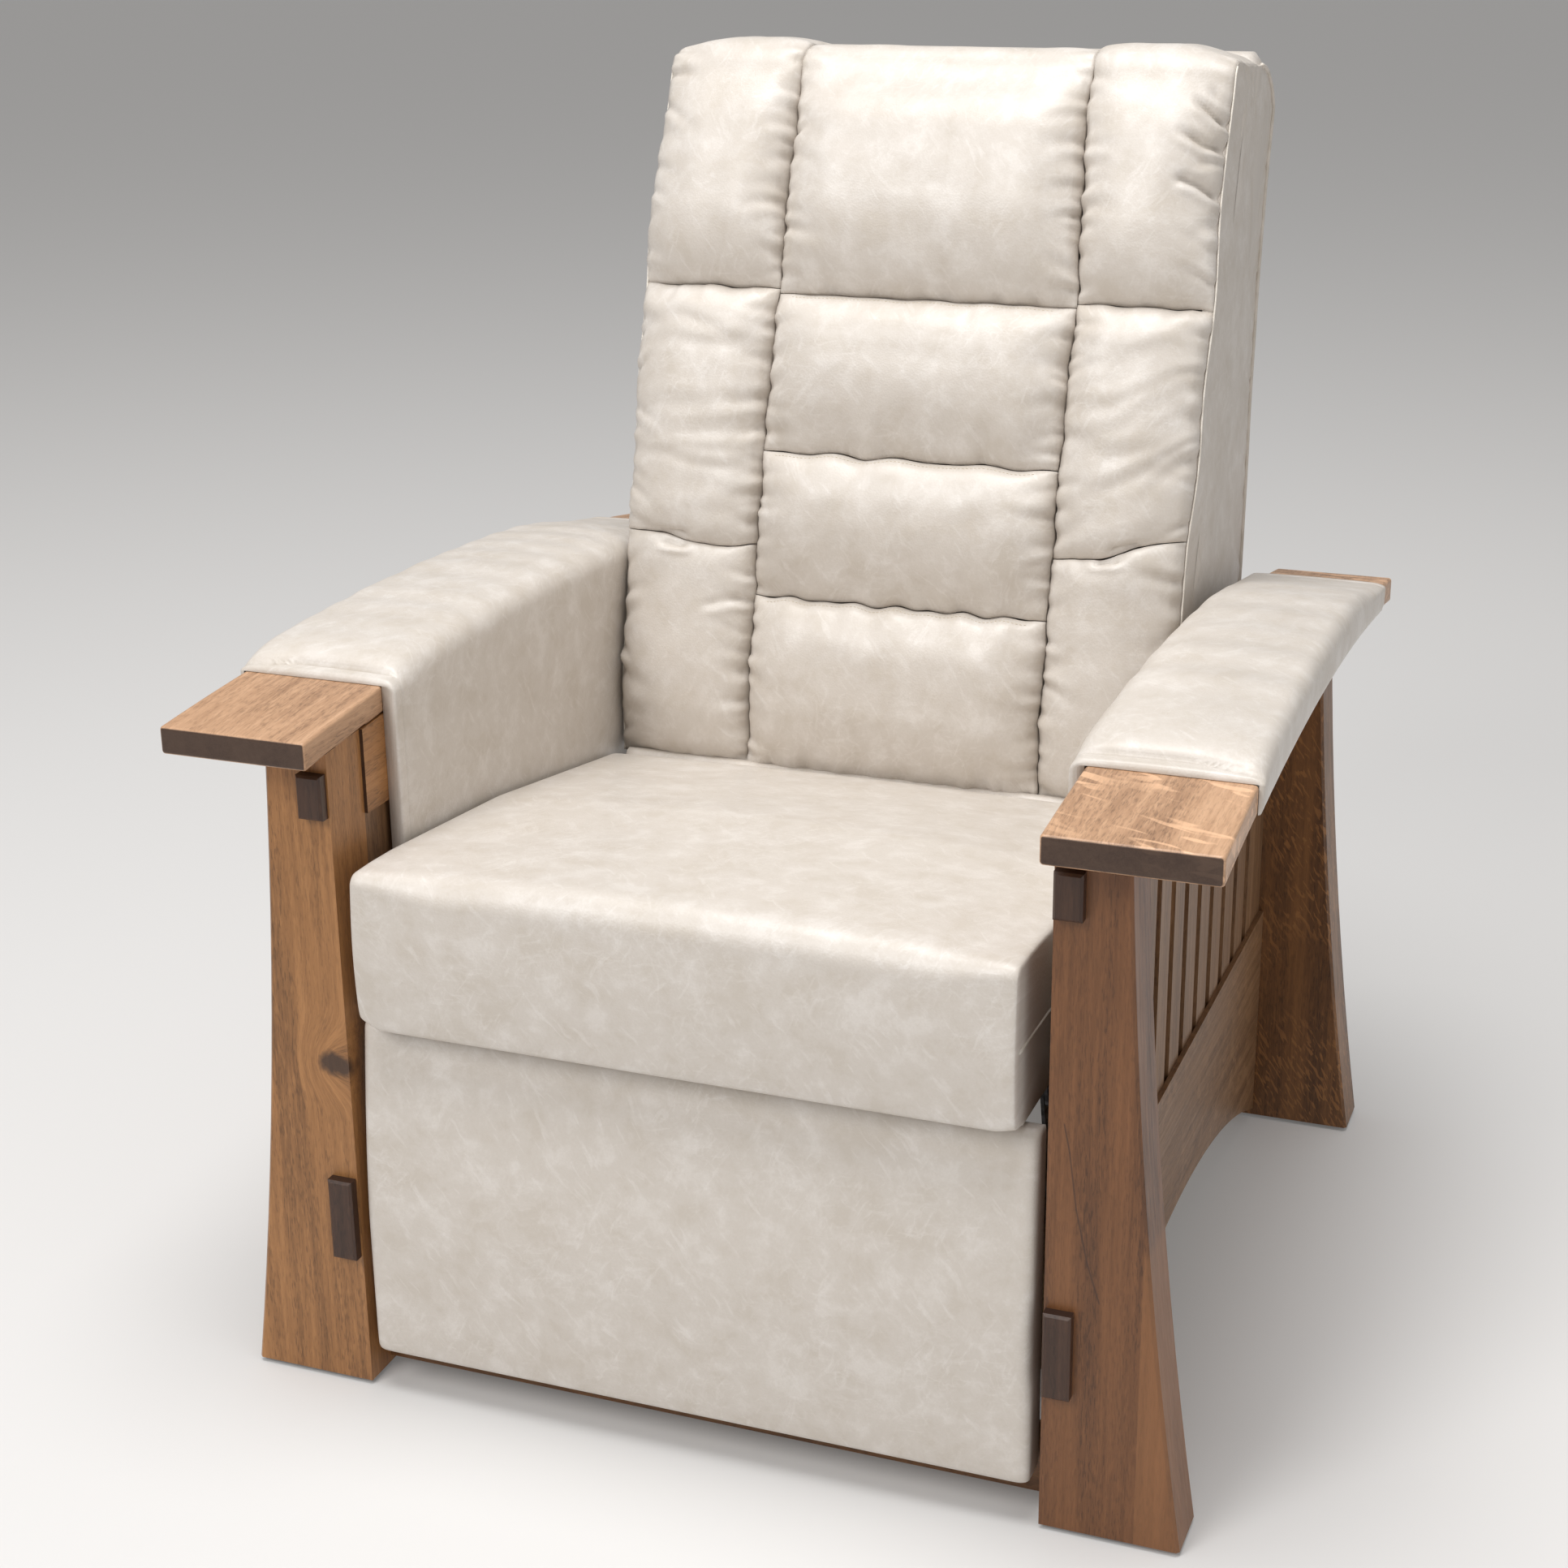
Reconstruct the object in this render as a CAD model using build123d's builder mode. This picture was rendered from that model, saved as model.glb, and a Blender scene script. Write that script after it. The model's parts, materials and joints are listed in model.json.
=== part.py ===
"""Mission reclining armchair: a flared oak frame with bowed arms, a leather seat, a channelled leather
back and a swing-out footrest on a steel linkage. X runs to the right, Y to the back and Z up, in
millimetres. The origin is on the floor, midway between the front of the arms and the rear of the
back."""

from build123d import *
import math
import os

os.makedirs("parts", exist_ok=True)

# Every depth below runs back from the footrest's face, and every height runs up from the floor.
overrun = 40.0  # how far a cutting tool runs past what it cuts
fit_gap = 0.3  # between a soft or loose piece and its neighbour
running_gap = 0.05  # radial, round a rivet

# Legs: boards that stand across the chair, straight inside and flared outside
leg_inner = 293.5  # from the middle of the chair
leg_setback = 5.0
leg_depth = 53.0
leg_head_width = 54.5
leg_foot_width = 111.0
leg_flare_share = 0.34  # of the whole flare, reached at half height
leg_edge = 2.5
glide_height = 4.0
glide_radius = 11.0
glide_inset = 22.0

# Bowed arms
arm_lap = 2.5  # of the arm past the legs' inner faces
arm_width = 130.0
arm_narrowing = 19.0  # of its width, towards the rear
arm_thickness = 23.0
arm_overhang = 34.0  # in front of the leg
arm_rear_overhang = 21.0
arm_length = 848.0
arm_crown = 604.0  # height of the top of the bow
arm_crown_depth = 280.0
arm_bow_radius = 3220.0
arm_edge = 3.0

# Side rails, slats and their tenons
rail_lap = 3.0  # of the side rails past the legs' inner faces
rail_thickness = 19.0
upper_rail_bottom = 502.0
lower_rail_top = 228.0
arch_top = 85.0
arch_foot = 10.0
tenon_length = 22.0
tenon_thickness = 11.0
upper_tenon_bottom = 516.0
upper_tenon_height = 37.0
lower_tenon_bottom = 124.0
lower_tenon_height = 73.0
cap_width = 22.0
cap_inset = 1.5
cap_proud = 10.0
cap_socket = 8.0
cap_edge = 2.0
slat_width = 36.5
slat_gap = 17.0
slat_thickness = 10.0
groove_depth = 7.0
slat_tongue = 6.0

# Stretchers, the blocks that hold them and the rails that carry the linkage
stretcher_bottom = 10.0
stretcher_height = 50.0
stretcher_thickness = 20.0
rear_stretcher_inset = 16.0
block_size = 34.0
block_height = 40.0
carrier_bottom = 108.0
carrier_height = 44.0

# Arm upholstery
pad_front_gap = 124.0  # bare wood in front of the pad
pad_rear_gap = 77.0  # bare wood behind the pad
pad_thickness = 20.0
pad_lip = 4.0
pad_rear_thickness = 7.0
pad_edge = 14.0
board_thickness = 6.5
panel_thickness = 6.5
panel_bottom = 350.0

# Footrest
footrest_side_gap = 7.5  # to a leg
footrest_bottom = 36.0
footrest_top_gap = 4.0  # under the seat
footrest_thickness = 34.0
footrest_edge = 11.0
footrest_core = 12.0
footrest_rim = 10.0

# Seat
seat_side_gap = 19.5  # to a leg
seat_front = -10.0
seat_tuck = 8.0  # of the seat under the back
deck_bottom = 345.0
border_drop = 3.0  # of the padded border below the deck
deck_height = 50.0
deck_wall = 20.0
deck_front = 12.0
deck_back_gap = 13.0
seat_edge_rises = (133.0, 110.0, 68.0)  # of the top's sides above the deck's bottom, front to rear
seat_crowns = (7.0, 12.0, 3.0)
seat_nose = 30.0  # radius of the front edge
strap_count = 5
strap_width = 50.0
strap_thickness = 2.0

# Back, measured up a front plane that leans back, and out in front of that plane
back_foot_depth = 488.0
back_foot_rise = 75.0  # above the deck's bottom
back_lean = 18.0  # degrees
back_side_inset = 10.0  # from the seat's side
back_height = 660.0
back_head_thickness = 146.0
back_head_rise = 12.0  # of the top over the head of the front plane
back_skin = 8.0
slab_thickness = 30.0
slab_foot = 95.0
pad_root = 30.0  # depth of the pads behind the plane
pad_crown = 20.0  # of a pad in front of its seams
centre_half = 141.0
centre_seams = ((0.0, -6.0), (156.0, 12.0), (289.0, 23.0), (434.0, 26.0), (655.0, 10.0))
side_seams = ((0.0, -6.0), (209.0, 17.0), (438.0, 26.0), (655.0, 10.0))
side_fall = 8.0  # of the outer seam behind the inner one
rear_height_shares = (0.875, 0.702, 0.555, 0.402, 0.252, 0.031)  # up from the foot of the back
rear_insets = (0.0, 12.0, 21.0, 23.0, 40.0, 56.0)  # of the rear's outline from its rearmost point
back_board = 21.0
board_margin = 18.0  # inside the shell's outline
back_rail_height = 50.0
back_rail_thickness = 20.0
back_rail_shares = (0.21, 0.85)  # up the back

# Steel linkage: plates in layers, counted in and out from the seat plates
plate_inset = 44.0  # from the seat's side
plate = 3.0
layer_gap = 1.0
link_width = 20.0
rivet_radius = 4.0
rivet_head_radius = 7.0
rivet_head = 2.0
upper_link_length = 247.0
front_link_length = 249.0
link_rest_angle = 104.0  # degrees from straight ahead, turning down
front_link_angle = -25.0
link_pitch = 59.6
control_pitch = 40.0
foot_pivot_setback = 23.0  # behind the footrest
foot_pivot_height = 187.0
tube_radius = 60.0  # from the upper pivot to the torque tube
tube_size = 20.0
tube_wall = 2.0
foot_bracket_margin = 14.0
foot_bracket_flange = 28.0
swing_length = 100.0
swing_rest_angle = 25.0  # degrees back from upright
swing_pivot_height = 165.0
front_swing_depth = 200.0
rear_swing_depth = 420.0
lug_radius = 14.0
plate_corner_depth = 240.0
plate_corner_rise = 27.0  # above the deck's bottom
base_plate_margin = 40.0
back_pivot_setback = 17.0  # behind the foot of the back
back_pivot_drop = 40.0  # below it
bracket_reaches = ((95.0, 56.0), (140.0, 86.0), (110.0, 92.0))  # back and up from the pivot
screw_radius = 2.5
screw_head_radius = 5.0
screw_head = 2.5
screw_length = 14.0
deck_screw_depths = (270.0, 350.0, 430.0)
deck_screw_rise = 25.0  # above the deck's bottom
base_screws = ((220.0, 130.0), (310.0, 130.0), (400.0, 130.0))
foot_screws = (140.0, 165.0, 190.0)  # heights
back_screw_reaches = ((107.0, 86.0), (135.0, 86.0))  # from the same pivot

# Places that follow from the sizes
arm_rear_width = arm_width - arm_narrowing
seat_bottom = deck_bottom - border_drop
seat_edge_tops = tuple(deck_bottom + rise for rise in seat_edge_rises)
footrest_height = seat_bottom - footrest_top_gap - footrest_bottom
back_foot_height = deck_bottom + back_foot_rise
plate_corner = (plate_corner_depth, deck_bottom + plate_corner_rise)
deck_screws = tuple((depth, deck_bottom + deck_screw_rise) for depth in deck_screw_depths)
arm_inner = leg_inner - arm_lap
rail_inner = leg_inner - rail_lap
footrest_half = leg_inner - footrest_side_gap
seat_half = leg_inner - seat_side_gap
back_half = seat_half - back_side_inset
seat_plate_x = seat_half - plate_inset
seat_rear = back_foot_depth + seat_tuck
deck_rear = back_foot_depth - deck_back_gap
back_pivot = (back_foot_depth + back_pivot_setback, back_foot_height - back_pivot_drop)
bracket_points = tuple((back_pivot[0] + back, back_pivot[1] + up) for back, up in bracket_reaches)
back_screws = tuple((back_pivot[0] + back, back_pivot[1] + up) for back, up in back_screw_reaches)
lean = math.radians(back_lean)
leg_span = arm_length - arm_overhang - arm_rear_overhang - leg_depth
rear_leg_front = leg_setback + leg_span
back_rear_top_depth = back_foot_depth + back_height * math.sin(lean) + back_head_thickness
back_top_height = back_foot_height + back_height * math.cos(lean) + back_head_rise
leg_back = leg_setback + leg_depth
arm_front = leg_setback - arm_overhang
arm_rear = arm_front + arm_length
mid_depth = (arm_front + back_rear_top_depth) / 2
rail_mid = rail_inner + rail_thickness / 2
panel_mid_depth = (leg_back + rear_leg_front) / 2
slat_count = int((rear_leg_front - leg_back - slat_gap) // (slat_width + slat_gap))
rear_stretcher_front = rear_leg_front + rear_stretcher_inset
pad_front = arm_front + pad_front_gap
pad_rear = arm_rear - pad_rear_gap
board_inner = rail_inner - board_thickness
panel_inner = board_inner - panel_thickness
deck_top = deck_bottom + deck_height
deck_outer = seat_plate_x + plate + deck_wall
cushion_bottom = deck_top + strap_thickness
layer = plate + layer_gap


def side_plane(x):
    """A sketch plane seen from the side: depth runs along it and height up it. It faces right."""
    return Plane(origin=(x, -mid_depth, 0), x_dir=(0, 1, 0), z_dir=(1, 0, 0))


def front_plane(depth):
    """A sketch plane that faces the front of the chair, at a depth."""
    return Plane(origin=(0, depth - mid_depth, 0), x_dir=(1, 0, 0), z_dir=(0, -1, 0))


def plan_plane(height):
    """A sketch plane that faces up, at a height. Depth runs up the sketch."""
    return Plane(origin=(0, -mid_depth, height), x_dir=(1, 0, 0), z_dir=(0, 0, 1))


def arm_arc_height(depth, drop=0.0):
    """Height of the arm's top at a depth, or of a line that runs a drop below it."""
    radius = arm_bow_radius - drop
    return arm_crown - arm_bow_radius + math.sqrt(radius**2 - (depth - arm_crown_depth) ** 2)


def ray(start, length, angle):
    """The point a length away from start, at an angle from straight ahead that turns down."""
    turn = math.radians(angle)
    return (start[0] - length * math.cos(turn), start[1] - length * math.sin(turn))


def back_point(up, out):
    """Depth and height of a point that lies up the back's front plane and out in front of it."""
    return (
        back_foot_depth + up * math.sin(lean) - out * math.cos(lean),
        back_foot_height + up * math.cos(lean) + out * math.sin(lean),
    )


def save(part, name):
    """Labels one finished piece and writes its file."""
    part.label = name
    export_step(part, f"parts/{name}.step")


def save_pair(part, name):
    """Writes a right-hand piece and its mirror image as two nodes."""
    save(mirror(part, about=Plane.YZ), f"{name}_left")
    save(part, f"{name}_right")


def both_sides(part):
    """A right-hand piece and its mirror image as one node."""
    return Compound(children=[*part.solids(), *mirror(part, about=Plane.YZ).solids()])


def bow_line(start, end, drop):
    """An arc of the arm's bow between two depths, a drop below the arm's top."""
    middle = (start + end) / 2
    return ThreePointArc(
        (start, arm_arc_height(start, drop)),
        (middle, arm_arc_height(middle, drop)),
        (end, arm_arc_height(end, drop)),
    )


def bow_band(start, end, drop, thickness):
    """The face of a band that follows the arm's bow, from a drop below its top down through a thickness."""
    with BuildSketch() as band:
        with BuildLine():
            upper = bow_line(start, end, drop)
            lower = bow_line(start, end, drop + thickness)
            Line(upper @ 0, lower @ 0)
            Line(upper @ 1, lower @ 1)
        make_face()
    return band.sketch


def above_arm():
    """Everything over the arm's underside, as a tool that trims what carries the arm."""
    with BuildPart() as tool:
        with BuildSketch(side_plane(0)):
            add(bow_band(arm_front - overrun, arm_rear + overrun, arm_thickness - 3 * overrun, 3 * overrun))
        extrude(amount=arm_inner + arm_width + overrun)
    return tool.part


arm_trim = above_arm()
upper_tenon_middle = upper_tenon_bottom + upper_tenon_height / 2
lower_tenon_middle = lower_tenon_bottom + lower_tenon_height / 2
tenons = ((upper_tenon_middle, upper_tenon_height), (lower_tenon_middle, lower_tenon_height))


def leg(face_depth, mortise_depth, capped):
    """One right-hand leg whose face stands at a depth, with its mortises cut from another depth."""
    with BuildPart() as board:
        with BuildSketch(front_plane(face_depth)):
            with BuildLine():
                foot = Line((leg_inner, glide_height), (leg_inner + leg_foot_width, glide_height))
                flare = leg_foot_width - leg_head_width
                outside = ThreePointArc(
                    foot @ 1,
                    (leg_inner + leg_head_width + flare * leg_flare_share, (arm_crown + glide_height) / 2),
                    (leg_inner + leg_head_width, arm_crown),
                )
                Polyline(outside @ 1, (leg_inner, arm_crown), foot @ 0)
            make_face()
        extrude(amount=-leg_depth)
        chamfer(board.edges().filter_by(Plane.XZ).filter_by(GeomType.LINE, reverse=True), leg_edge)
        add(arm_trim, mode=Mode.SUBTRACT)
        for height, tall in tenons:
            with BuildSketch(front_plane(mortise_depth)):
                with Locations((rail_mid, height)):
                    Rectangle(tenon_thickness, tall)
            extrude(amount=tenon_length, both=True, mode=Mode.SUBTRACT)
            if capped:
                with BuildSketch(front_plane(face_depth + cap_socket)):
                    with Locations((leg_inner + cap_inset + cap_width / 2, height)):
                        Rectangle(cap_width, tall)
                extrude(amount=cap_socket + overrun, mode=Mode.SUBTRACT)
    return board.part


front_leg = leg(leg_setback, leg_back, True)
rear_leg = leg(rear_leg_front, rear_leg_front, False)
save_pair(front_leg, "front_leg")
save_pair(rear_leg, "rear_leg")

# The blocks that show on the front legs where the rails' tenons end
with BuildPart() as tenon_caps:
    for height, tall in tenons:
        with BuildSketch(front_plane(leg_setback + cap_socket)):
            with Locations((leg_inner + cap_inset + cap_width / 2, height)):
                Rectangle(cap_width, tall)
        extrude(amount=cap_socket + cap_proud)
    chamfer(tenon_caps.faces().group_by(Axis.Y)[0].edges(), cap_edge)
save(both_sides(tenon_caps.part), "tenon_caps")

# Nylon glides under the legs
with BuildPart() as foot_glides:
    with BuildSketch(plan_plane(0)):
        for face in (leg_setback, rear_leg_front):
            for x in (leg_inner + glide_inset, leg_inner + leg_foot_width - glide_inset):
                with Locations((x, face + leg_depth / 2)):
                    Circle(glide_radius)
    extrude(amount=glide_height)
    chamfer(foot_glides.edges().group_by(Axis.Z)[0], glide_height / 4)
save(both_sides(foot_glides.part), "foot_glides")

# Arms, tapered towards the rear on the outside
with BuildPart() as arm:
    with BuildSketch(side_plane(arm_inner)):
        add(bow_band(arm_front, arm_rear, 0, arm_thickness))
    extrude(amount=arm_width)
    with BuildSketch(plan_plane(0)):
        with BuildLine():
            Polyline(
                (arm_inner + arm_width, arm_front),
                (arm_inner + arm_rear_width, arm_rear),
                (arm_inner + arm_width + overrun, arm_rear),
                (arm_inner + arm_width + overrun, arm_front),
                close=True,
            )
        make_face()
    extrude(amount=arm_crown + overrun, mode=Mode.SUBTRACT)
    fillet(arm.edges(), arm_edge)
save_pair(arm.part, "arm")


def side_rail(top, bottom, tenon_middle, tenon_height):
    """A side rail between the legs with a stub tenon at each end, before its outline is trimmed."""
    with BuildPart() as rail:
        with BuildSketch(side_plane(rail_inner)):
            with Locations((panel_mid_depth, (top + bottom) / 2)):
                Rectangle(rear_leg_front - leg_back, top - bottom)
        extrude(amount=rail_thickness)
        with BuildSketch(side_plane(rail_mid - tenon_thickness / 2)):
            with Locations((panel_mid_depth, tenon_middle)):
                Rectangle(rear_leg_front - leg_back + 2 * (tenon_length - fit_gap), tenon_height)
        extrude(amount=tenon_thickness)
    return rail.part


def slat_groove(height):
    """A groove for the slats' tongues along a rail, above or below a height."""
    with BuildPart() as groove:
        with BuildSketch(side_plane(rail_mid - slat_thickness / 2)):
            with Locations((panel_mid_depth, height)):
                Rectangle(rear_leg_front - leg_back, 2 * groove_depth)
        extrude(amount=slat_thickness)
    return groove.part


with BuildPart() as upper_rail:
    add(side_rail(arm_crown, upper_rail_bottom, upper_tenon_middle, upper_tenon_height))
    add(arm_trim, mode=Mode.SUBTRACT)
    add(slat_groove(upper_rail_bottom), mode=Mode.SUBTRACT)
save_pair(upper_rail.part, "upper_rail")

with BuildPart() as lower_rail:
    add(side_rail(lower_rail_top, arch_foot, lower_tenon_middle, lower_tenon_height))
    add(slat_groove(lower_rail_top), mode=Mode.SUBTRACT)
    with BuildSketch(side_plane(rail_inner)):
        with BuildLine():
            arch = ThreePointArc(
                (leg_back, arch_foot), (panel_mid_depth, arch_top), (rear_leg_front, arch_foot)
            )
            below = arch_foot - overrun
            Polyline(arch @ 1, (rear_leg_front, below), (leg_back, below), arch @ 0)
        make_face()
    extrude(amount=rail_thickness, mode=Mode.SUBTRACT)
save_pair(lower_rail.part, "lower_rail")

# Slats stand in the two grooves, and the first and last ones run on to the legs
slat_height = upper_rail_bottom - lower_rail_top + 2 * slat_tongue
slat_span = slat_count * slat_width + (slat_count - 1) * slat_gap
end_slat_width = slat_width + (rear_leg_front - leg_back - slat_span) / 2 - fit_gap
with BuildPart() as slats:
    with BuildSketch(side_plane(rail_mid - slat_thickness / 2 + fit_gap / 2)):
        with Locations((panel_mid_depth, (upper_rail_bottom + lower_rail_top) / 2)):
            with GridLocations(slat_width + slat_gap, 0, slat_count - 2, 1):
                Rectangle(slat_width, slat_height)
            with GridLocations(rear_leg_front - leg_back - 2 * fit_gap - end_slat_width, 0, 2, 1):
                Rectangle(end_slat_width, slat_height)
    extrude(amount=slat_thickness - fit_gap)
save_pair(slats.part, "slats")


def cross_board(near_depth, thickness, half, bottom, height):
    """A board that runs across the chair, by its front depth and its bottom."""
    with BuildPart() as board:
        with BuildSketch(front_plane(near_depth)):
            with Locations((0, bottom + height / 2)):
                Rectangle(2 * half, height)
        extrude(amount=-thickness)
    return board.part


front_stretcher_front = leg_back - stretcher_thickness
for face, name in ((front_stretcher_front, "front_stretcher"), (rear_stretcher_front, "rear_stretcher")):
    save(cross_board(face, stretcher_thickness, leg_inner, stretcher_bottom, stretcher_height), name)

# Triangular glue blocks tie the stretchers to the side rails and legs
rear_stretcher_back = rear_stretcher_front + stretcher_thickness
with BuildPart() as corner_blocks:
    with BuildSketch(plan_plane(stretcher_bottom)):
        with BuildLine():
            Polyline(
                (rail_inner, leg_back),
                (rail_inner, leg_back + block_size),
                (rail_inner - block_size, leg_back),
                close=True,
            )
        make_face()
        with BuildLine():
            Polyline(
                (rail_inner, rear_stretcher_front),
                (rail_inner, rear_stretcher_front - block_size),
                (rail_inner - block_size, rear_stretcher_front),
                close=True,
            )
        make_face()
    extrude(amount=block_height)
save(both_sides(corner_blocks.part), "corner_blocks")

# Boards inside the rails carry the padded inner panels
with BuildPart() as inner_board:
    with BuildSketch(side_plane(board_inner)):
        with Locations(((pad_front + pad_rear) / 2, (panel_bottom + arm_crown) / 2)):
            Rectangle(pad_rear - pad_front, arm_crown - panel_bottom)
    extrude(amount=board_thickness)
    add(arm_trim, mode=Mode.SUBTRACT)
save_pair(inner_board.part, "inner_board")

# Wooden rails on the side rails' inner faces carry the linkage
linkage_rail_width = rail_inner - seat_plate_x - 2 * layer - plate
with BuildPart() as linkage_rail:
    with BuildSketch(side_plane(rail_inner - linkage_rail_width)):
        with Locations((panel_mid_depth, carrier_bottom + carrier_height / 2)):
            Rectangle(rear_leg_front - leg_back, carrier_height)
    extrude(amount=linkage_rail_width)
save_pair(linkage_rail.part, "linkage_rail")

# Padded leather over the arm: a crowned top, a lip over the outer edge and a drop inside the chair
arm_taper = (arm_width - arm_rear_width) / arm_length
arm_outer_front = arm_inner + arm_width - arm_taper * (pad_front - arm_front)
arm_outer_rear = arm_inner + arm_width - arm_taper * (pad_rear - arm_front)


def tapered_slab(inner, grow):
    """A tall block over the padded length, from an inner face to the line of the arm's outer edge."""
    with BuildPart() as block:
        with BuildSketch(plan_plane(panel_bottom)):
            with BuildLine():
                Polyline(
                    (inner, pad_front),
                    (arm_outer_front + grow, pad_front),
                    (arm_outer_rear + grow, pad_rear),
                    (inner, pad_rear),
                    close=True,
                )
            make_face()
        extrude(amount=arm_crown + overrun)
    return block.part


with BuildPart() as arm_drop:
    with BuildSketch(side_plane(panel_inner)):
        with Locations(((pad_front + pad_rear) / 2, (panel_bottom + arm_crown) / 2)):
            Rectangle(pad_rear - pad_front, arm_crown - panel_bottom)
    extrude(amount=panel_thickness)
    add(arm_trim, mode=Mode.SUBTRACT)

with BuildPart() as arm_pad:
    with BuildSketch(side_plane(panel_inner)):
        with BuildLine():
            pad_middle = (pad_front + pad_rear) / 2
            crest = ThreePointArc(
                (pad_front, arm_arc_height(pad_front) + pad_thickness),
                (pad_middle, arm_arc_height(pad_middle) + pad_thickness),
                (pad_rear, arm_arc_height(pad_rear) + pad_rear_thickness),
            )
            sole = bow_line(pad_front, pad_rear, arm_thickness)
            Line(crest @ 0, sole @ 0)
            Line(crest @ 1, sole @ 1)
        make_face()
    extrude(amount=arm_width + overrun)
    add(tapered_slab(panel_inner, pad_lip), mode=Mode.INTERSECT)
    fillet(arm_pad.faces().sort_by(Axis.Z)[-1].edges().sort_by(Axis.Y)[:-1], pad_edge)
    with BuildSketch(side_plane(board_inner)):
        add(bow_band(pad_front - overrun, pad_rear + overrun, 0, arm_thickness + overrun))
    arm_zone = extrude(amount=arm_width + overrun, mode=Mode.PRIVATE)
    add(arm_zone & tapered_slab(board_inner, 0), mode=Mode.SUBTRACT)
    add(arm_drop.part)
save_pair(arm_pad.part, "arm_pad")

# Footrest: a padded front wrapped round a board
with BuildPart() as footrest_pad:
    with BuildSketch(front_plane(0)):
        with Locations((0, footrest_bottom + footrest_height / 2)):
            Rectangle(2 * footrest_half, footrest_height)
    extrude(amount=-footrest_thickness)
    fillet(footrest_pad.faces().group_by(Axis.Y)[0].edges(), footrest_edge)
    with BuildSketch(front_plane(footrest_thickness - footrest_core)):
        with Locations((0, footrest_bottom + footrest_height / 2)):
            Rectangle(2 * (footrest_half - footrest_rim), footrest_height - 2 * footrest_rim)
    extrude(amount=-footrest_core, mode=Mode.SUBTRACT)
save(footrest_pad.part, "footrest_pad")
core_depth = footrest_thickness - footrest_core
core_half = footrest_half - footrest_rim
core_bottom = footrest_bottom + footrest_rim
core_height = footrest_height - 2 * footrest_rim
save(cross_board(core_depth, footrest_core, core_half, core_bottom, core_height), "footrest_board")

# Seat frame
with BuildPart() as deck_side:
    with BuildSketch(side_plane(seat_plate_x + plate)):
        with Locations(((deck_front + deck_rear) / 2, deck_bottom + deck_height / 2)):
            Rectangle(deck_rear - deck_front, deck_height)
    extrude(amount=deck_wall)
save_pair(deck_side.part, "seat_rail_side")
save(cross_board(deck_front, deck_wall, seat_plate_x + plate, deck_bottom, deck_height), "seat_rail_front")
save(cross_board(deck_rear - deck_wall, deck_wall, seat_plate_x, deck_bottom, deck_height), "seat_rail_rear")

with BuildPart() as seat_straps:
    with BuildSketch(plan_plane(deck_top)):
        with Locations((0, (deck_front + deck_rear) / 2)):
            with GridLocations(2 * deck_outer / strap_count, 0, strap_count, 1):
                Rectangle(strap_width, deck_rear - deck_front)
    extrude(amount=strap_thickness)
save(seat_straps.part, "seat_straps")

# Seat cushion: lofted from front to rear under a crowned top, with a rounded front edge
with BuildPart() as seat_cushion:
    for share, top, crown in zip((0.0, 0.5, 1.0), seat_edge_tops, seat_crowns):
        with BuildSketch(front_plane(seat_front + share * (seat_rear - seat_front))):
            with BuildLine():
                crest = ThreePointArc((-seat_half, top), (0, top + crown), (seat_half, top))
                Polyline(crest @ 1, (seat_half, cushion_bottom), (-seat_half, cushion_bottom), crest @ 0)
            make_face()
    loft()
    fillet(seat_cushion.edges().group_by(Axis.Y)[0].sort_by(Axis.Z)[-1], seat_nose)
save(seat_cushion.part, "seat_cushion")

# Padded border round the seat frame's front and sides
with BuildPart() as seat_border:
    with BuildSketch(plan_plane(seat_bottom)):
        with Locations((0, (seat_front + deck_front) / 2)):
            Rectangle(2 * seat_half, deck_front - seat_front)
        for side in (-1, 1):
            with Locations((side * (deck_outer + seat_half) / 2, (deck_front + seat_rear) / 2)):
                Rectangle(seat_half - deck_outer, seat_rear - deck_front)
    extrude(amount=cushion_bottom - seat_bottom)
save(seat_border.part, "seat_border")


def back_section(up, left, right, sides, crest):
    """A cross-section of a back pad at a height up the back, through its two sides and its crest."""
    depth, height = back_point(up, 0)
    plane = Plane(
        origin=(0, depth - mid_depth, height), x_dir=(1, 0, 0), z_dir=(0, math.sin(lean), math.cos(lean))
    )
    with BuildSketch(plane) as section:
        with BuildLine():
            bulge = ThreePointArc((left, -sides[0]), ((left + right) / 2, -crest), (right, -sides[1]))
            Polyline(bulge @ 1, (right, pad_root), (left, pad_root), bulge @ 0)
        make_face()
    return section.sketch


def back_pads(seams, left, right, fall):
    """A column of back pads between seams, each lofted through its two seams and its middle."""
    with BuildPart() as column:
        for (low, low_out), (high, high_out) in zip(seams, seams[1:]):
            middle_out = (low_out + high_out) / 2 + pad_crown / 2
            pad_faces = (
                back_section(low, left, right, (low_out, low_out - fall), low_out + pad_crown / 4),
                back_section(
                    (low + high) / 2, left, right, (middle_out, middle_out - fall), middle_out + pad_crown
                ),
                back_section(high, left, right, (high_out, high_out - fall), high_out + pad_crown / 4),
            )
            loft(sections=pad_faces, mode=Mode.ADD)
    return column.part


save(back_pads(centre_seams, -centre_half, centre_half, 0), "back_pads_centre")
save_pair(back_pads(side_seams, centre_half, back_half, side_fall), "back_pads_side")


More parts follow.
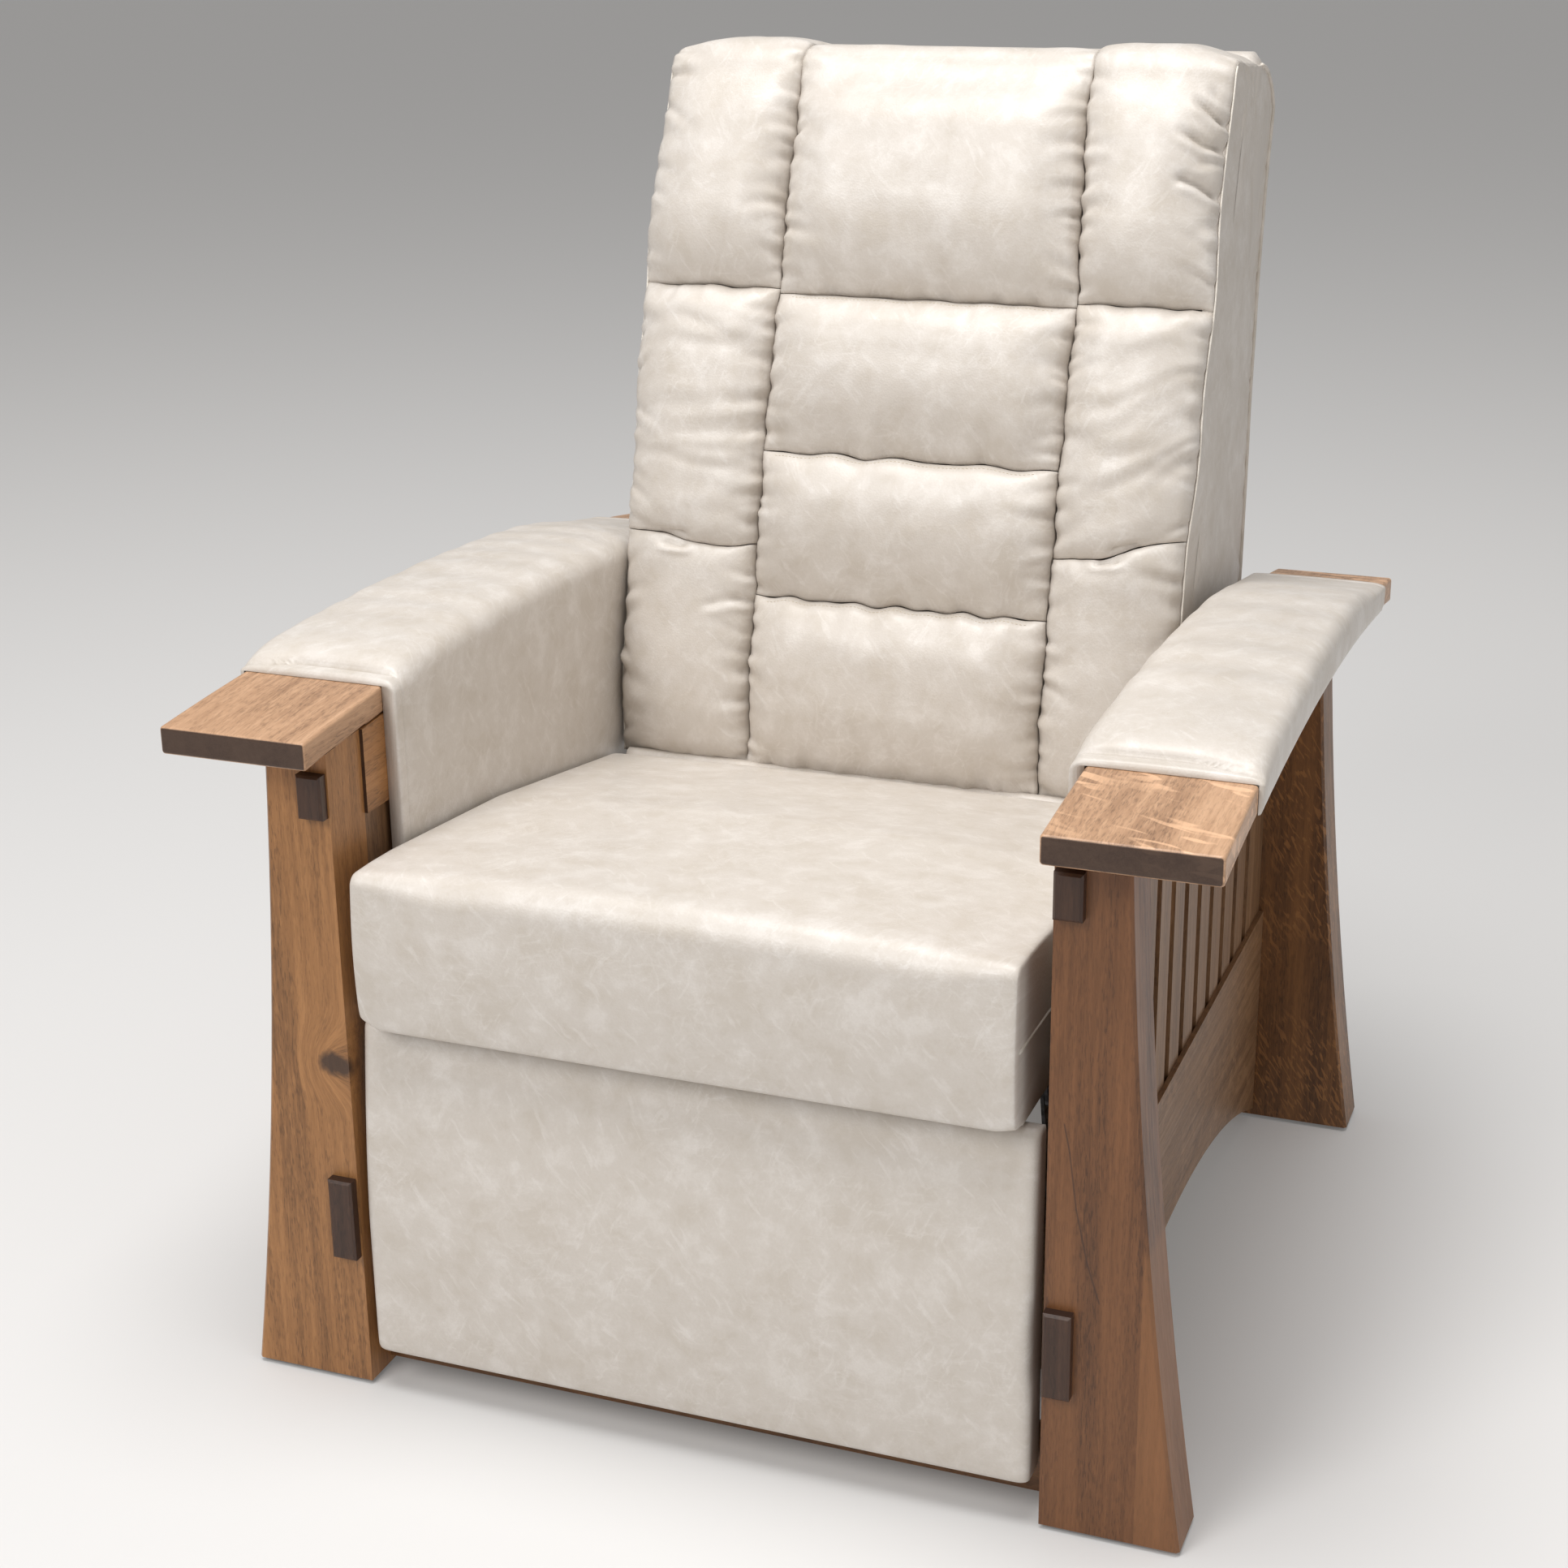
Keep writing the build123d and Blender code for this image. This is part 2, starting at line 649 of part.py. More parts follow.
def back_outline(front_out, margin):
    """The back's side outline behind a plane, drawn in by a margin."""
    rise = back_top_height - back_foot_height
    rear_points = [
        (back_rear_top_depth - inset - margin, back_foot_height + share * rise)
        for share, inset in zip(rear_height_shares, rear_insets)
    ]
    with BuildSketch() as outline:
        with BuildLine():
            foot = back_point(margin, front_out - margin)
            head = back_point(back_height - margin, front_out - margin)
            front_edge = Line(foot, head)
            top = ThreePointArc(
                front_edge @ 1,
                ((head[0] + back_rear_top_depth) / 2, back_top_height - margin),
                rear_points[0],
            )
            rear = Polyline(*rear_points)
            Line(rear @ 1, foot)
        make_face()
    return outline.sketch


# Upholstered shell round the back's sides, rear and top, open at the front and the bottom
with BuildPart() as back_room:
    with BuildSketch(side_plane(-back_half + back_skin)):
        hollow = back_outline(-pad_root, back_skin)
        add(hollow)
        add(hollow.moved(Location((-overrun / 2, 0))))
        add(hollow.moved(Location((0, -overrun))))
        add(hollow.moved(Location((-overrun / 2, -overrun))))
    extrude(amount=2 * (back_half - back_skin))

with BuildPart() as back_shell:
    with BuildSketch(side_plane(-back_half)):
        add(back_outline(-pad_root, 0))
    extrude(amount=2 * back_half)
    add(back_room.part, mode=Mode.SUBTRACT)
save(back_shell.part, "back_shell")


def behind_pads(tool_out):
    """A tool that keeps only what lies behind a plane parallel to the back's front."""
    depth, height = back_point(0, tool_out)
    return Plane(
        origin=(0, depth - mid_depth, height), x_dir=(1, 0, 0), z_dir=(0, -math.cos(lean), math.sin(lean))
    )


slab_rear_out = -pad_root - slab_thickness
board_face = seat_plate_x - layer_gap
with BuildPart() as back_slab:
    with BuildSketch(behind_pads(slab_rear_out)):
        with Locations((0, (slab_foot + back_height) / 2)):
            Rectangle(2 * (back_half - back_skin), back_height - slab_foot)
    extrude(amount=slab_thickness)
    add(back_room.part, mode=Mode.INTERSECT)
save(back_slab.part, "back_slab")

# Plywood sides inside the back, joined by two rails
with BuildPart() as back_side:
    with BuildSketch(side_plane(board_face)):
        add(back_outline(slab_rear_out + board_margin - fit_gap, board_margin))
    extrude(amount=back_board)
save_pair(back_side.part, "back_side")

with BuildPart() as back_rails:
    with BuildSketch(behind_pads(slab_rear_out - back_rail_thickness)):
        for share in back_rail_shares:
            with Locations((0, share * back_height + back_rail_height / 2)):
                Rectangle(2 * board_face, back_rail_height)
    extrude(amount=back_rail_thickness)
save(back_rails.part, "back_rails")

# Pivots of the footrest linkage, worked back from the footrest
foot_pivot = (footrest_thickness + foot_pivot_setback, foot_pivot_height)
elbow = ray(foot_pivot, -front_link_length, front_link_angle)
upper_pivot = ray(elbow, -upper_link_length, link_rest_angle)
rear_pivot = ray(upper_pivot, -link_pitch, front_link_angle)
rear_elbow = ray(elbow, -link_pitch, front_link_angle)
control_elbow = ray(elbow, control_pitch, link_rest_angle)
foot_control_pivot = ray(foot_pivot, control_pitch, link_rest_angle)
swing_angle = 90 - swing_rest_angle
front_swing_foot = (front_swing_depth, swing_pivot_height)
rear_swing_foot = (rear_swing_depth, swing_pivot_height)
front_swing_head = ray(front_swing_foot, -swing_length, swing_angle)
rear_swing_head = ray(rear_swing_foot, -swing_length, swing_angle)

seat_layer = seat_plate_x
inner_layer = seat_layer - layer
innermost_layer = inner_layer - layer
outer_layer = seat_layer + layer
base_layer = outer_layer + layer


def bar(x, start, end, fixed, loose):
    """A steel bar with round ends in a layer, bored for rivets fixed in it and for rivets that turn in it."""
    with BuildPart() as link:
        with BuildSketch(side_plane(x)):
            for end_point in (start, end):
                with Locations(end_point):
                    Circle(link_width / 2)
            make_hull()
            for points, radius in ((fixed, rivet_radius), (loose, rivet_radius + running_gap)):
                for point in points:
                    with Locations(point):
                        Circle(radius, mode=Mode.SUBTRACT)
        extrude(amount=plate)
    return link.part


def rivet(point, shank_start, shank_end, inner_head, outer_head):
    """A rivet across the layers between two sides, with a head on its inner end, its outer end or both."""
    with BuildPart() as pin:
        with BuildSketch(side_plane(shank_start)):
            with Locations(point):
                Circle(rivet_radius)
        extrude(amount=shank_end - shank_start)
        if inner_head:
            with BuildSketch(side_plane(shank_start - rivet_head)):
                with Locations(point):
                    Circle(rivet_head_radius)
            extrude(amount=rivet_head)
        if outer_head:
            with BuildSketch(side_plane(shank_end)):
                with Locations(point):
                    Circle(rivet_head_radius)
            extrude(amount=rivet_head)
    return pin.part


def save_set(pieces, name):
    """Writes right-hand pieces and their mirror images as one node."""
    solids = [solid for piece in pieces for solid in both_sides(piece).solids()]
    save(Compound(children=solids), name)


upper_bar = bar(inner_layer, upper_pivot, control_elbow, (elbow, control_elbow), (upper_pivot,))
rear_bar = bar(inner_layer, rear_pivot, rear_elbow, (rear_elbow,), (rear_pivot,))
front_bar = bar(innermost_layer, rear_elbow, foot_pivot, (), (rear_elbow, elbow, foot_pivot))
control_bar = bar(innermost_layer, control_elbow, foot_control_pivot, (), (control_elbow, foot_control_pivot))
save_set((upper_bar,), "upper_links")
save_set((rear_bar,), "rear_links")
save_set((front_bar,), "front_links")
save_set((control_bar,), "control_links")
link_end = inner_layer + plate


def link_pins(points):
    """The rivets that join the innermost links to the next layer."""
    return [rivet(point, innermost_layer, link_end, True, True) for point in points]


save_set(link_pins((elbow, control_elbow)), "upper_link_rivets")
save_set(link_pins((rear_elbow,)), "rear_link_rivets")
save_set(link_pins((foot_pivot, foot_control_pivot)), "footrest_rivets")

# The torque tube ties the two upper links together
tube_middle = ray(upper_pivot, tube_radius, link_rest_angle)
with BuildPart() as torque_tube:
    with BuildSketch(side_plane(-inner_layer)):
        with Locations(tube_middle):
            Rectangle(tube_size, tube_size)
            Rectangle(tube_size - 2 * tube_wall, tube_size - 2 * tube_wall, mode=Mode.SUBTRACT)
    extrude(amount=2 * inner_layer)
save(torque_tube.part, "torque_tube")

# Angle brackets behind the footrest
bracket_low = foot_control_pivot[1] - foot_bracket_margin
bracket_high = foot_pivot_height + foot_bracket_margin
foot_screw_x = inner_layer + foot_bracket_flange / 2
with BuildPart() as footrest_bracket:
    with BuildSketch(side_plane(inner_layer)):
        for point in (foot_pivot, foot_control_pivot):
            with Locations(point):
                Circle(link_width / 2)
        with Locations((footrest_thickness + plate / 2, (bracket_low + bracket_high) / 2)):
            Rectangle(plate, bracket_high - bracket_low)
        make_hull()
        for point in (foot_pivot, foot_control_pivot):
            with Locations(point):
                Circle(rivet_radius, mode=Mode.SUBTRACT)
    extrude(amount=plate)
    with BuildSketch(side_plane(inner_layer)):
        with Locations((footrest_thickness + plate / 2, (bracket_low + bracket_high) / 2)):
            Rectangle(plate, bracket_high - bracket_low)
    extrude(amount=foot_bracket_flange)
    with BuildSketch(front_plane(footrest_thickness)):
        for height in foot_screws:
            with Locations((foot_screw_x, height)):
                Circle(screw_radius)
    extrude(amount=-plate, mode=Mode.SUBTRACT)
save_set((footrest_bracket.part,), "footrest_brackets")

# Seat plates carry every pivot of the seat
with BuildPart() as seat_plate:
    with BuildSketch(side_plane(seat_layer)):
        for point in (upper_pivot, front_swing_head, rear_swing_head, back_pivot, plate_corner):
            with Locations(point):
                Circle(lug_radius)
        make_hull()
        for point in (upper_pivot, rear_pivot, front_swing_head, rear_swing_head, back_pivot):
            with Locations(point):
                Circle(rivet_radius, mode=Mode.SUBTRACT)
        for point in deck_screws:
            with Locations(point):
                Circle(screw_radius, mode=Mode.SUBTRACT)
    extrude(amount=plate)
save_set((seat_plate.part,), "seat_plates")
seat_pins = [
    rivet(point, inner_layer, seat_layer + plate, True, True)
    for point in (upper_pivot, rear_pivot, back_pivot)
]
seat_pins += [rivet(p, seat_layer, outer_layer + plate, False, True) for p in (front_swing_head, rear_swing_head)]
save_set(seat_pins, "seat_rivets")

# Swing links carry the seat on the base plates
for foot, head, name in (
    (front_swing_foot, front_swing_head, "front_swing_links"),
    (rear_swing_foot, rear_swing_head, "rear_swing_links"),
):
    save_set((bar(outer_layer, foot, head, (), (foot, head)),), name)

with BuildPart() as base_plate:
    with BuildSketch(side_plane(base_layer)):
        for foot in (front_swing_foot, rear_swing_foot):
            with Locations(foot):
                Circle(lug_radius)
        with Locations(((front_swing_depth + rear_swing_depth) / 2, carrier_bottom + carrier_height / 2)):
            Rectangle(rear_swing_depth - front_swing_depth + 2 * base_plate_margin, carrier_height)
        make_hull()
        for foot in (front_swing_foot, rear_swing_foot):
            with Locations(foot):
                Circle(rivet_radius, mode=Mode.SUBTRACT)
        for point in base_screws:
            with Locations(point):
                Circle(screw_radius, mode=Mode.SUBTRACT)
    extrude(amount=plate)
save_set((base_plate.part,), "base_plates")
base_pins = [
    rivet(foot, outer_layer, base_layer + plate, True, True)
    for foot in (front_swing_foot, rear_swing_foot)
]
save_set(base_pins, "base_rivets")

# Plates on the back's sides turn on the seat plates
with BuildPart() as back_bracket:
    with BuildSketch(side_plane(inner_layer)):
        for point in (back_pivot, *bracket_points):
            with Locations(point):
                Circle(lug_radius)
        make_hull()
        with Locations(back_pivot):
            Circle(rivet_radius + running_gap, mode=Mode.SUBTRACT)
        for point in back_screws:
            with Locations(point):
                Circle(screw_radius, mode=Mode.SUBTRACT)
    extrude(amount=plate)
save_set((back_bracket.part,), "back_brackets")


def screw(place, direction):
    """A screw driven along a direction, with its head seated at a place given by x, depth and height."""
    x, depth, height = place
    with BuildPart() as fastener:
        with BuildSketch(Plane(origin=(x, depth - mid_depth, height), z_dir=direction)):
            Circle(screw_radius)
        extrude(amount=screw_length)
        with BuildSketch(Plane(origin=(x, depth - mid_depth, height), z_dir=direction)):
            Circle(screw_head_radius)
        extrude(amount=-screw_head)
    return fastener.part


outwards = (1, 0, 0)
foot_screw_depth = footrest_thickness + plate
save_set((screw((seat_layer, *point), outwards) for point in deck_screws), "seat_screws")
save_set((screw((base_layer, *point), outwards) for point in base_screws), "base_screws")
save_set((screw((inner_layer, *point), outwards) for point in back_screws), "back_screws")
save_set(
    (screw((foot_screw_x, foot_screw_depth, height), (0, -1, 0)) for height in foot_screws), "footrest_screws"
)
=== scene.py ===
"""Dresses the mission reclining armchair: leather upholstery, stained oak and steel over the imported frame. Metres."""

import json
from math import cos, pi, radians, sin, sqrt

import bmesh
import bpy
import numpy as np
from mathutils import Matrix, Vector
from mathutils.bvhtree import BVHTree


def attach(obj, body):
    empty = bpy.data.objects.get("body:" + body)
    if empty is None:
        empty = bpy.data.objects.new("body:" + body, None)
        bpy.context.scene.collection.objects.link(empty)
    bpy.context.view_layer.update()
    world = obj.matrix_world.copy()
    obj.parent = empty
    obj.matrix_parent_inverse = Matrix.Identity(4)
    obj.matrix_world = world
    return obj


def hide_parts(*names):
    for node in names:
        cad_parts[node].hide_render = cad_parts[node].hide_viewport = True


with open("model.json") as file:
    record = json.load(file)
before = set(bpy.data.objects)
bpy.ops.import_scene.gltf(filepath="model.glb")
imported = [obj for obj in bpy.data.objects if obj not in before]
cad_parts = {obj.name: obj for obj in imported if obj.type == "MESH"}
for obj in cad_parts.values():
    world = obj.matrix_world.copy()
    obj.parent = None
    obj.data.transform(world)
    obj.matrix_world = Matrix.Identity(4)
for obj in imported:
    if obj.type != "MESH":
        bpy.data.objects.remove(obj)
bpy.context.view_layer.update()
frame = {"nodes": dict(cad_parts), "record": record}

scene = bpy.context.scene
MM = 0.001
SIDES = ((-1, "left"), (1, "right"))
TURN = 6.28  # about a full turn, for random phases
MID_DEPTH = 404.5  # the row frame's Y is a depth behind the footrest's face, less this

# Camera at the photograph's viewpoint
CAMERA_PLACE = (741.2, -1666.9, 1243.8)  # x, depth, height
CAMERA_TURNS = (-21.29, 20.00, -0.74)  # yaw, down and roll, in degrees
CAMERA_LENS = 60.375
SENSOR = 36.0
CLIP_START, CLIP_END = 0.05, 30


def place(x, depth, height):
    """A point given in millimetres by x, depth and height, in the row frame."""
    return Vector((x, depth - MID_DEPTH, height)) * MM


def make_camera():
    yaw, down, roll = (radians(a) for a in CAMERA_TURNS)
    ahead = Vector((sin(yaw) * cos(down), cos(yaw) * cos(down), -sin(down)))
    level = Vector((cos(yaw), -sin(yaw), 0))
    upright = level.cross(ahead)
    right = cos(roll) * level + sin(roll) * upright
    up = cos(roll) * upright - sin(roll) * level
    data = bpy.data.cameras.new("camera")
    data.lens, data.sensor_width = CAMERA_LENS, SENSOR
    data.clip_start, data.clip_end = CLIP_START, CLIP_END
    camera = bpy.data.objects.new("camera", data)
    scene.collection.objects.link(camera)
    turn = Matrix((right, up, -ahead)).transposed().to_4x4()
    camera.matrix_world = Matrix.Translation(place(*CAMERA_PLACE)) @ turn
    scene.camera = camera


make_camera()
scene.view_settings.view_transform = "Standard"
scene.view_settings.look = "None"


# Materials
def srgb(*levels):
    """A linear colour from one given as 0 to 255 in sRGB."""
    shares = [level / 255 for level in levels]
    return (*(c / 12.92 if c <= 0.04045 else ((c + 0.055) / 1.055) ** 2.4 for c in shares), 1.0)


def toned(colour, by):
    """A linear colour made lighter or darker."""
    return (*(min(1, c * by) for c in colour[:3]), 1)


class Shader:
    """A short way to build one material's node tree."""

    def __init__(self, name):
        self.material = bpy.data.materials.new(name)
        self.material.use_nodes = True
        self.tree = self.material.node_tree
        self.tree.nodes.clear()
        output = self.tree.nodes.new("ShaderNodeOutputMaterial")
        self.surface = self.tree.nodes.new("ShaderNodeBsdfPrincipled")
        self.tree.links.new(self.surface.outputs[0], output.inputs[0])
        self.coords = self.node("ShaderNodeTexCoord", {}, "Object")

    def feed(self, node, sockets):
        """Links each socket to an output, or sets it to a value."""
        for name, value in sockets.items():
            if hasattr(value, "is_output"):
                self.tree.links.new(value, node.inputs[name])
            else:
                node.inputs[name].default_value = value

    def node(self, kind, sockets, out=0, **settings):
        """One output of a new node."""
        node = self.tree.nodes.new(kind)
        for name, value in settings.items():
            setattr(node, name, value)
        self.feed(node, sockets)
        return node.outputs[out]

    def dressed(self, colour, rough, normal, **more):
        """The finished material. More sockets are named with _ for a space."""
        more = {name.replace("_", " "): value for name, value in more.items()}
        self.feed(self.surface, {"Base Color": colour, "Roughness": rough, "Normal": normal, **more})
        return self.material

    def mapped(self, source, scale=(1, 1, 1), offset=(0, 0, 0), turn=(0, 0, 0)):
        sockets = {"Vector": source, "Scale": scale, "Location": offset, "Rotation": turn}
        return self.node("ShaderNodeMapping", sockets)

    def noise(self, vector, scale, detail=4.0, rough=0.55, distortion=0.0, out="Fac"):
        sockets = {"Vector": vector, "Scale": scale, "Detail": detail, "Roughness": rough, "Distortion": distortion}
        return self.node("ShaderNodeTexNoise", sockets, out)

    def wave(self, vector, scale, distortion, detail_scale, direction="X"):
        sockets = {"Vector": vector, "Scale": scale, "Distortion": distortion, "Detail": 1.0}
        sockets["Detail Scale"] = detail_scale
        return self.node("ShaderNodeTexWave", sockets, "Fac", bands_direction=direction)

    def ramp(self, factor, stops, way="EASE"):
        node = self.tree.nodes.new("ShaderNodeValToRGB")
        node.color_ramp.interpolation = way
        points = node.color_ramp.elements
        while len(points) < len(stops):
            points.new(0.5)
        for point, (position, colour) in zip(points, stops):
            point.position, point.color = position, colour
        self.feed(node, {0: factor})
        return node.outputs[0]

    def grey(self, factor, low, high, at_low=0.0, at_high=1.0):
        """A factor's range from low to high, turned into another range."""
        sockets = {"Value": factor, "From Min": low, "From Max": high, "To Min": at_low, "To Max": at_high}
        return self.node("ShaderNodeMapRange", sockets)

    def math(self, operation, *values):
        return self.node("ShaderNodeMath", dict(enumerate(values)), operation=operation)

    def times(self, a, b):
        return self.math("MULTIPLY", a, b)

    def mix(self, factor, a, b):
        return self.node("ShaderNodeMix", {0: factor, 6: a, 7: b}, 2, data_type="RGBA")

    def vectors(self, operation, out, sockets):
        return self.node("ShaderNodeVectorMath", sockets, out, operation=operation)

    def shifted(self, vector, by, amount):
        """A vector moved by a share of another one."""
        return self.vectors("ADD", 0, {0: vector, 1: self.vectors("SCALE", 0, {0: by, "Scale": amount})})

    def part(self, vector, axis):
        return self.node("ShaderNodeSeparateXYZ", {0: vector}, axis)

    def bump(self, height, strength, distance, **normal):
        return self.node("ShaderNodeBump", {"Strength": strength, "Distance": distance, "Height": height, **normal})


def leather_material():
    """Cream leather: an even colour with fine lighter veins on the hide, a pebble grain and a soft sheen, with painted
    shade darkening its creases.
    """
    base, light, dark = srgb(206, 198, 189), srgb(231, 226, 221), srgb(188, 177, 162)
    s = Shader("cream_leather")
    hide = s.node("ShaderNodeAttribute", {}, "Vector", attribute_name="flow")
    hide = s.shifted(hide, s.noise(hide, 9.0, 3.0, out="Color"), 0.035)
    patches = s.noise(hide, 34.0, 5.0, 0.62)
    colour = s.mix(0.34, base, s.ramp(patches, ((0.34, dark), (0.50, base), (0.68, light))))
    thin = s.noise(hide, 12.0, 3.0, 0.5)
    for turn, scale, low, strength in ((0.5, 200.0, 0.585, 0.26), (-0.7, 170.0, 0.59, 0.28), (1.4, 220.0, 0.60, 0.22)):
        # A mapping scales before it turns, so the strokes are turned first and stretched by a second one
        turned = s.mapped(hide, (1, 1, 1), (turn, turn, 0), (0, 0, turn))
        strokes = s.noise(s.mapped(turned, (1.0, 0.17, 1.0)), scale, 3.0, 0.55, 0.3)
        where = s.grey(thin, 0.38, 0.58) if turn > 0 else s.grey(thin, 0.62, 0.44)
        mask = s.times(s.grey(strokes, low, low + 0.09), where)
        colour = s.mix(s.times(mask, strength), colour, light)
    for scale, turn in ((19.0, 0.0), (34.0, 1.3)):
        ridge = s.noise(s.mapped(hide, (1, 1, 1), (turn, 0.4, turn)), scale, 3.0, 0.5, 0.5)
        ridge = s.math("ABSOLUTE", s.math("SUBTRACT", ridge, 0.5))
        vein = s.times(s.grey(ridge, 0.0, 0.018, 0.20, 0.0), s.grey(thin, 0.42, 0.62))
        colour = s.mix(vein, colour, light)
    fine = s.noise(s.coords, 520.0, 3.0, 0.6)
    colour = s.mix(s.grey(fine, 0.35, 0.65, 0.16, 0.0), colour, dark)
    # Painted shade: where the surface is hollow, in creases and seams, the colour darkens towards a deep brown to stand
    # in for the shade that falls there
    painted_crease_shade = s.grey(s.node("ShaderNodeNewGeometry", {}, "Pointiness"), 0.40, 0.49, 0.60, 0.0)
    colour = s.mix(painted_crease_shade, colour, srgb(124, 107, 82))
    pebbles = s.node("ShaderNodeTexVoronoi", {"Vector": s.coords, "Scale": 560.0, "Randomness": 1.0}, "Distance")
    grain = s.bump(s.noise(s.coords, 150.0, 4.0, 0.6), 0.10, 0.0012, Normal=s.bump(pebbles, 0.16, 0.0006))
    rough = s.grey(patches, 0.3, 0.8, 0.46, 0.38)
    return s.dressed(colour, rough, grain, Coat_Weight=0.30, Coat_Roughness=0.42)


def stretched(axis, scale):
    """A mapping's scale that draws a texture out along one axis."""
    return [scale if name == axis else 1 for name in "XYZ"]


def wood(node, seed, axis, tones, fleck=None, knot=None, crack=(), strip=None):
    """Stained oak: soft rings and fine pores along one axis, ray flecks, and any knot, crack or glued strip.

    A fleck is a strength, a size and a mapping's scale, a knot a point and a radius, and a crack a row of points.
    A strip is where it starts in x, where it ends in height, and its tone.
    """
    light, middle, dark = (srgb(*tone) for tone in tones)
    s = Shader("oak_" + node)
    offset = (seed * 1.37, seed * 0.71, seed * 2.11)
    even = s.mapped(s.coords, (1, 1, 1), offset)
    swirl = s.noise(s.mapped(s.coords, stretched(axis, 0.105), offset), 9.0, 2.0, out="Color")
    bent = s.shifted(s.coords, swirl, 0.02)
    if knot:
        centre, radius = place(*knot[:3]), knot[3] * MM
        away = s.vectors("DISTANCE", "Value", {0: s.coords, 1: centre})
        near = s.grey(away, radius * 0.6, radius * 4.0, 1.0, 0.0)
        bent = s.shifted(bent, s.node("ShaderNodeCombineXYZ", {"X": s.times(near, near)}), 0.03)
    long_grain = s.mapped(bent, stretched(axis, 0.035), offset)
    rings = s.noise(long_grain, 55.0, 3.0, 0.5)
    fibre = s.noise(long_grain, 240.0, 4.0, 0.6)
    pores = s.noise(s.mapped(bent, stretched(axis, 0.13), offset), 820.0, 2.0, 0.5)
    blend = s.math("ADD", s.times(rings, 0.55), s.times(fibre, 0.45))
    colour = s.ramp(blend, ((0.34, dark), (0.50, middle), (0.66, light)), "LINEAR")
    colour = s.mix(s.grey(s.noise(even, 5.0, 3.0), 0.35, 0.65, 0.45, 0.0), colour, middle)
    mask = s.times(s.grey(pores, 0.53, 0.62), s.grey(rings, 0.40, 0.60, 1.0, 0.35))
    colour = s.mix(s.times(mask, 0.50), colour, toned(dark, 0.45))
    glints = s.mapped(bent, stretched(axis, 0.13), (offset[1], offset[2], offset[0]))
    colour = s.mix(s.grey(s.noise(glints, 480.0, 2.0, 0.5), 0.56, 0.66, 0.0, 0.35), colour, light)
    if fleck:
        strength, size, scale = fleck
        turned = s.mapped(bent, (1, 1, 1), offset, (0, 0.5, 0) if axis == "Z" else (0, 0, 0.25))
        rays = s.noise(s.mapped(turned, scale), size, 1.5, 0.5, 0.6)
        spread = s.grey(s.noise(even, 8.0, 2.0), 0.36, 0.50)
        mask = s.times(s.times(s.grey(rays, 0.55, 0.60), spread), strength)
        colour = s.mix(mask, colour, toned(light, 1.45))
    facing = s.part(s.node("ShaderNodeNewGeometry", {}, "Normal"), axis)
    colour = s.mix(s.grey(s.math("ABSOLUTE", facing), 0.75, 0.9, 0.0, 0.92), colour, srgb(46, 28, 20))
    if strip:
        low_x, high_z, tone = strip[0] * MM, strip[1] * MM, srgb(*strip[2])
        beyond = s.grey(s.part(s.coords, "X"), low_x, low_x + 0.0006)
        below = s.grey(s.part(s.coords, "Z"), high_z, high_z + 0.01, 1.0, 0.0)
        colour = s.mix(s.times(s.times(beyond, below), 0.4), colour, tone)
    for a, b in zip(crack, crack[1:]):
        colour = s.mix(line_mask(s, place(*a), place(*b), 0.0006), colour, srgb(48, 32, 26))
    if knot:
        rough = s.shifted(s.coords, s.noise(s.coords, 45.0, 4.0, out="Color"), 0.024)
        heart = (centre + Vector((0.012, 0.012, 0.012))) * Vector((1, 1, 1.7))
        away = s.vectors("DISTANCE", "Value", {0: s.mapped(rough, (1.0, 1.0, 1.7)), 1: heart})
        colour = s.mix(s.grey(away, radius * 0.7, radius * 1.5, 0.9, 0.0), colour, srgb(58, 40, 30))
    grain = s.bump(fibre, 0.08, 0.0008, Normal=s.bump(pores, 0.10, 0.0005))
    rough = s.grey(fibre, 0.3, 0.7, 0.50, 0.40)
    return s.dressed(colour, rough, grain, Coat_Weight=0.12, Coat_Roughness=0.30, Specular_IOR_Level=0.42)


def line_mask(s, start, end, width):
    """A mask that shows along a line between two points and fades across its width."""
    axis, length = (end - start).normalized(), (end - start).length
    offset = s.vectors("SUBTRACT", 0, {0: s.coords, 1: start})
    along = s.vectors("DOT_PRODUCT", "Value", {0: offset, 1: axis})
    away = s.vectors("LENGTH", "Value", {0: s.vectors("CROSS_PRODUCT", 0, {0: offset, 1: axis})})
    inside = s.times(s.grey(along, -0.001, 0.001), s.grey(along, length, length + 0.002, 1.0, 0.0))
    return s.times(s.grey(away, width * 0.5, width * 1.5, 0.6, 0.0), inside)


def steel_material():
    s = Shader("zinc_steel")
    streaks = s.noise(s.mapped(s.coords, (1, 0.2, 1)), 160.0, 4.0)
    colour = s.ramp(streaks, ((0.3, srgb(96, 97, 100)), (0.7, srgb(140, 141, 144))))
    rough = s.grey(streaks, 0.3, 0.7, 0.42, 0.30)
    return s.dressed(colour, rough, s.bump(s.noise(s.coords, 700.0), 0.12, 0.0004), Metallic=0.9)


def plywood_material():
    s = Shader("plywood")
    plies = s.wave(s.coords, 90.0, 0.4, 1.0)
    fibre = s.noise(s.mapped(s.coords, (1, 0.06, 1)), 120.0, 4.0)
    colour = s.ramp(fibre, ((0.3, srgb(150, 121, 84)), (0.7, srgb(196, 168, 126))))
    colour = s.mix(s.grey(plies, 0.6, 0.9, 0.0, 0.25), colour, srgb(120, 88, 56))
    return s.dressed(colour, 0.75, s.bump(fibre, 0.25, 0.0006))


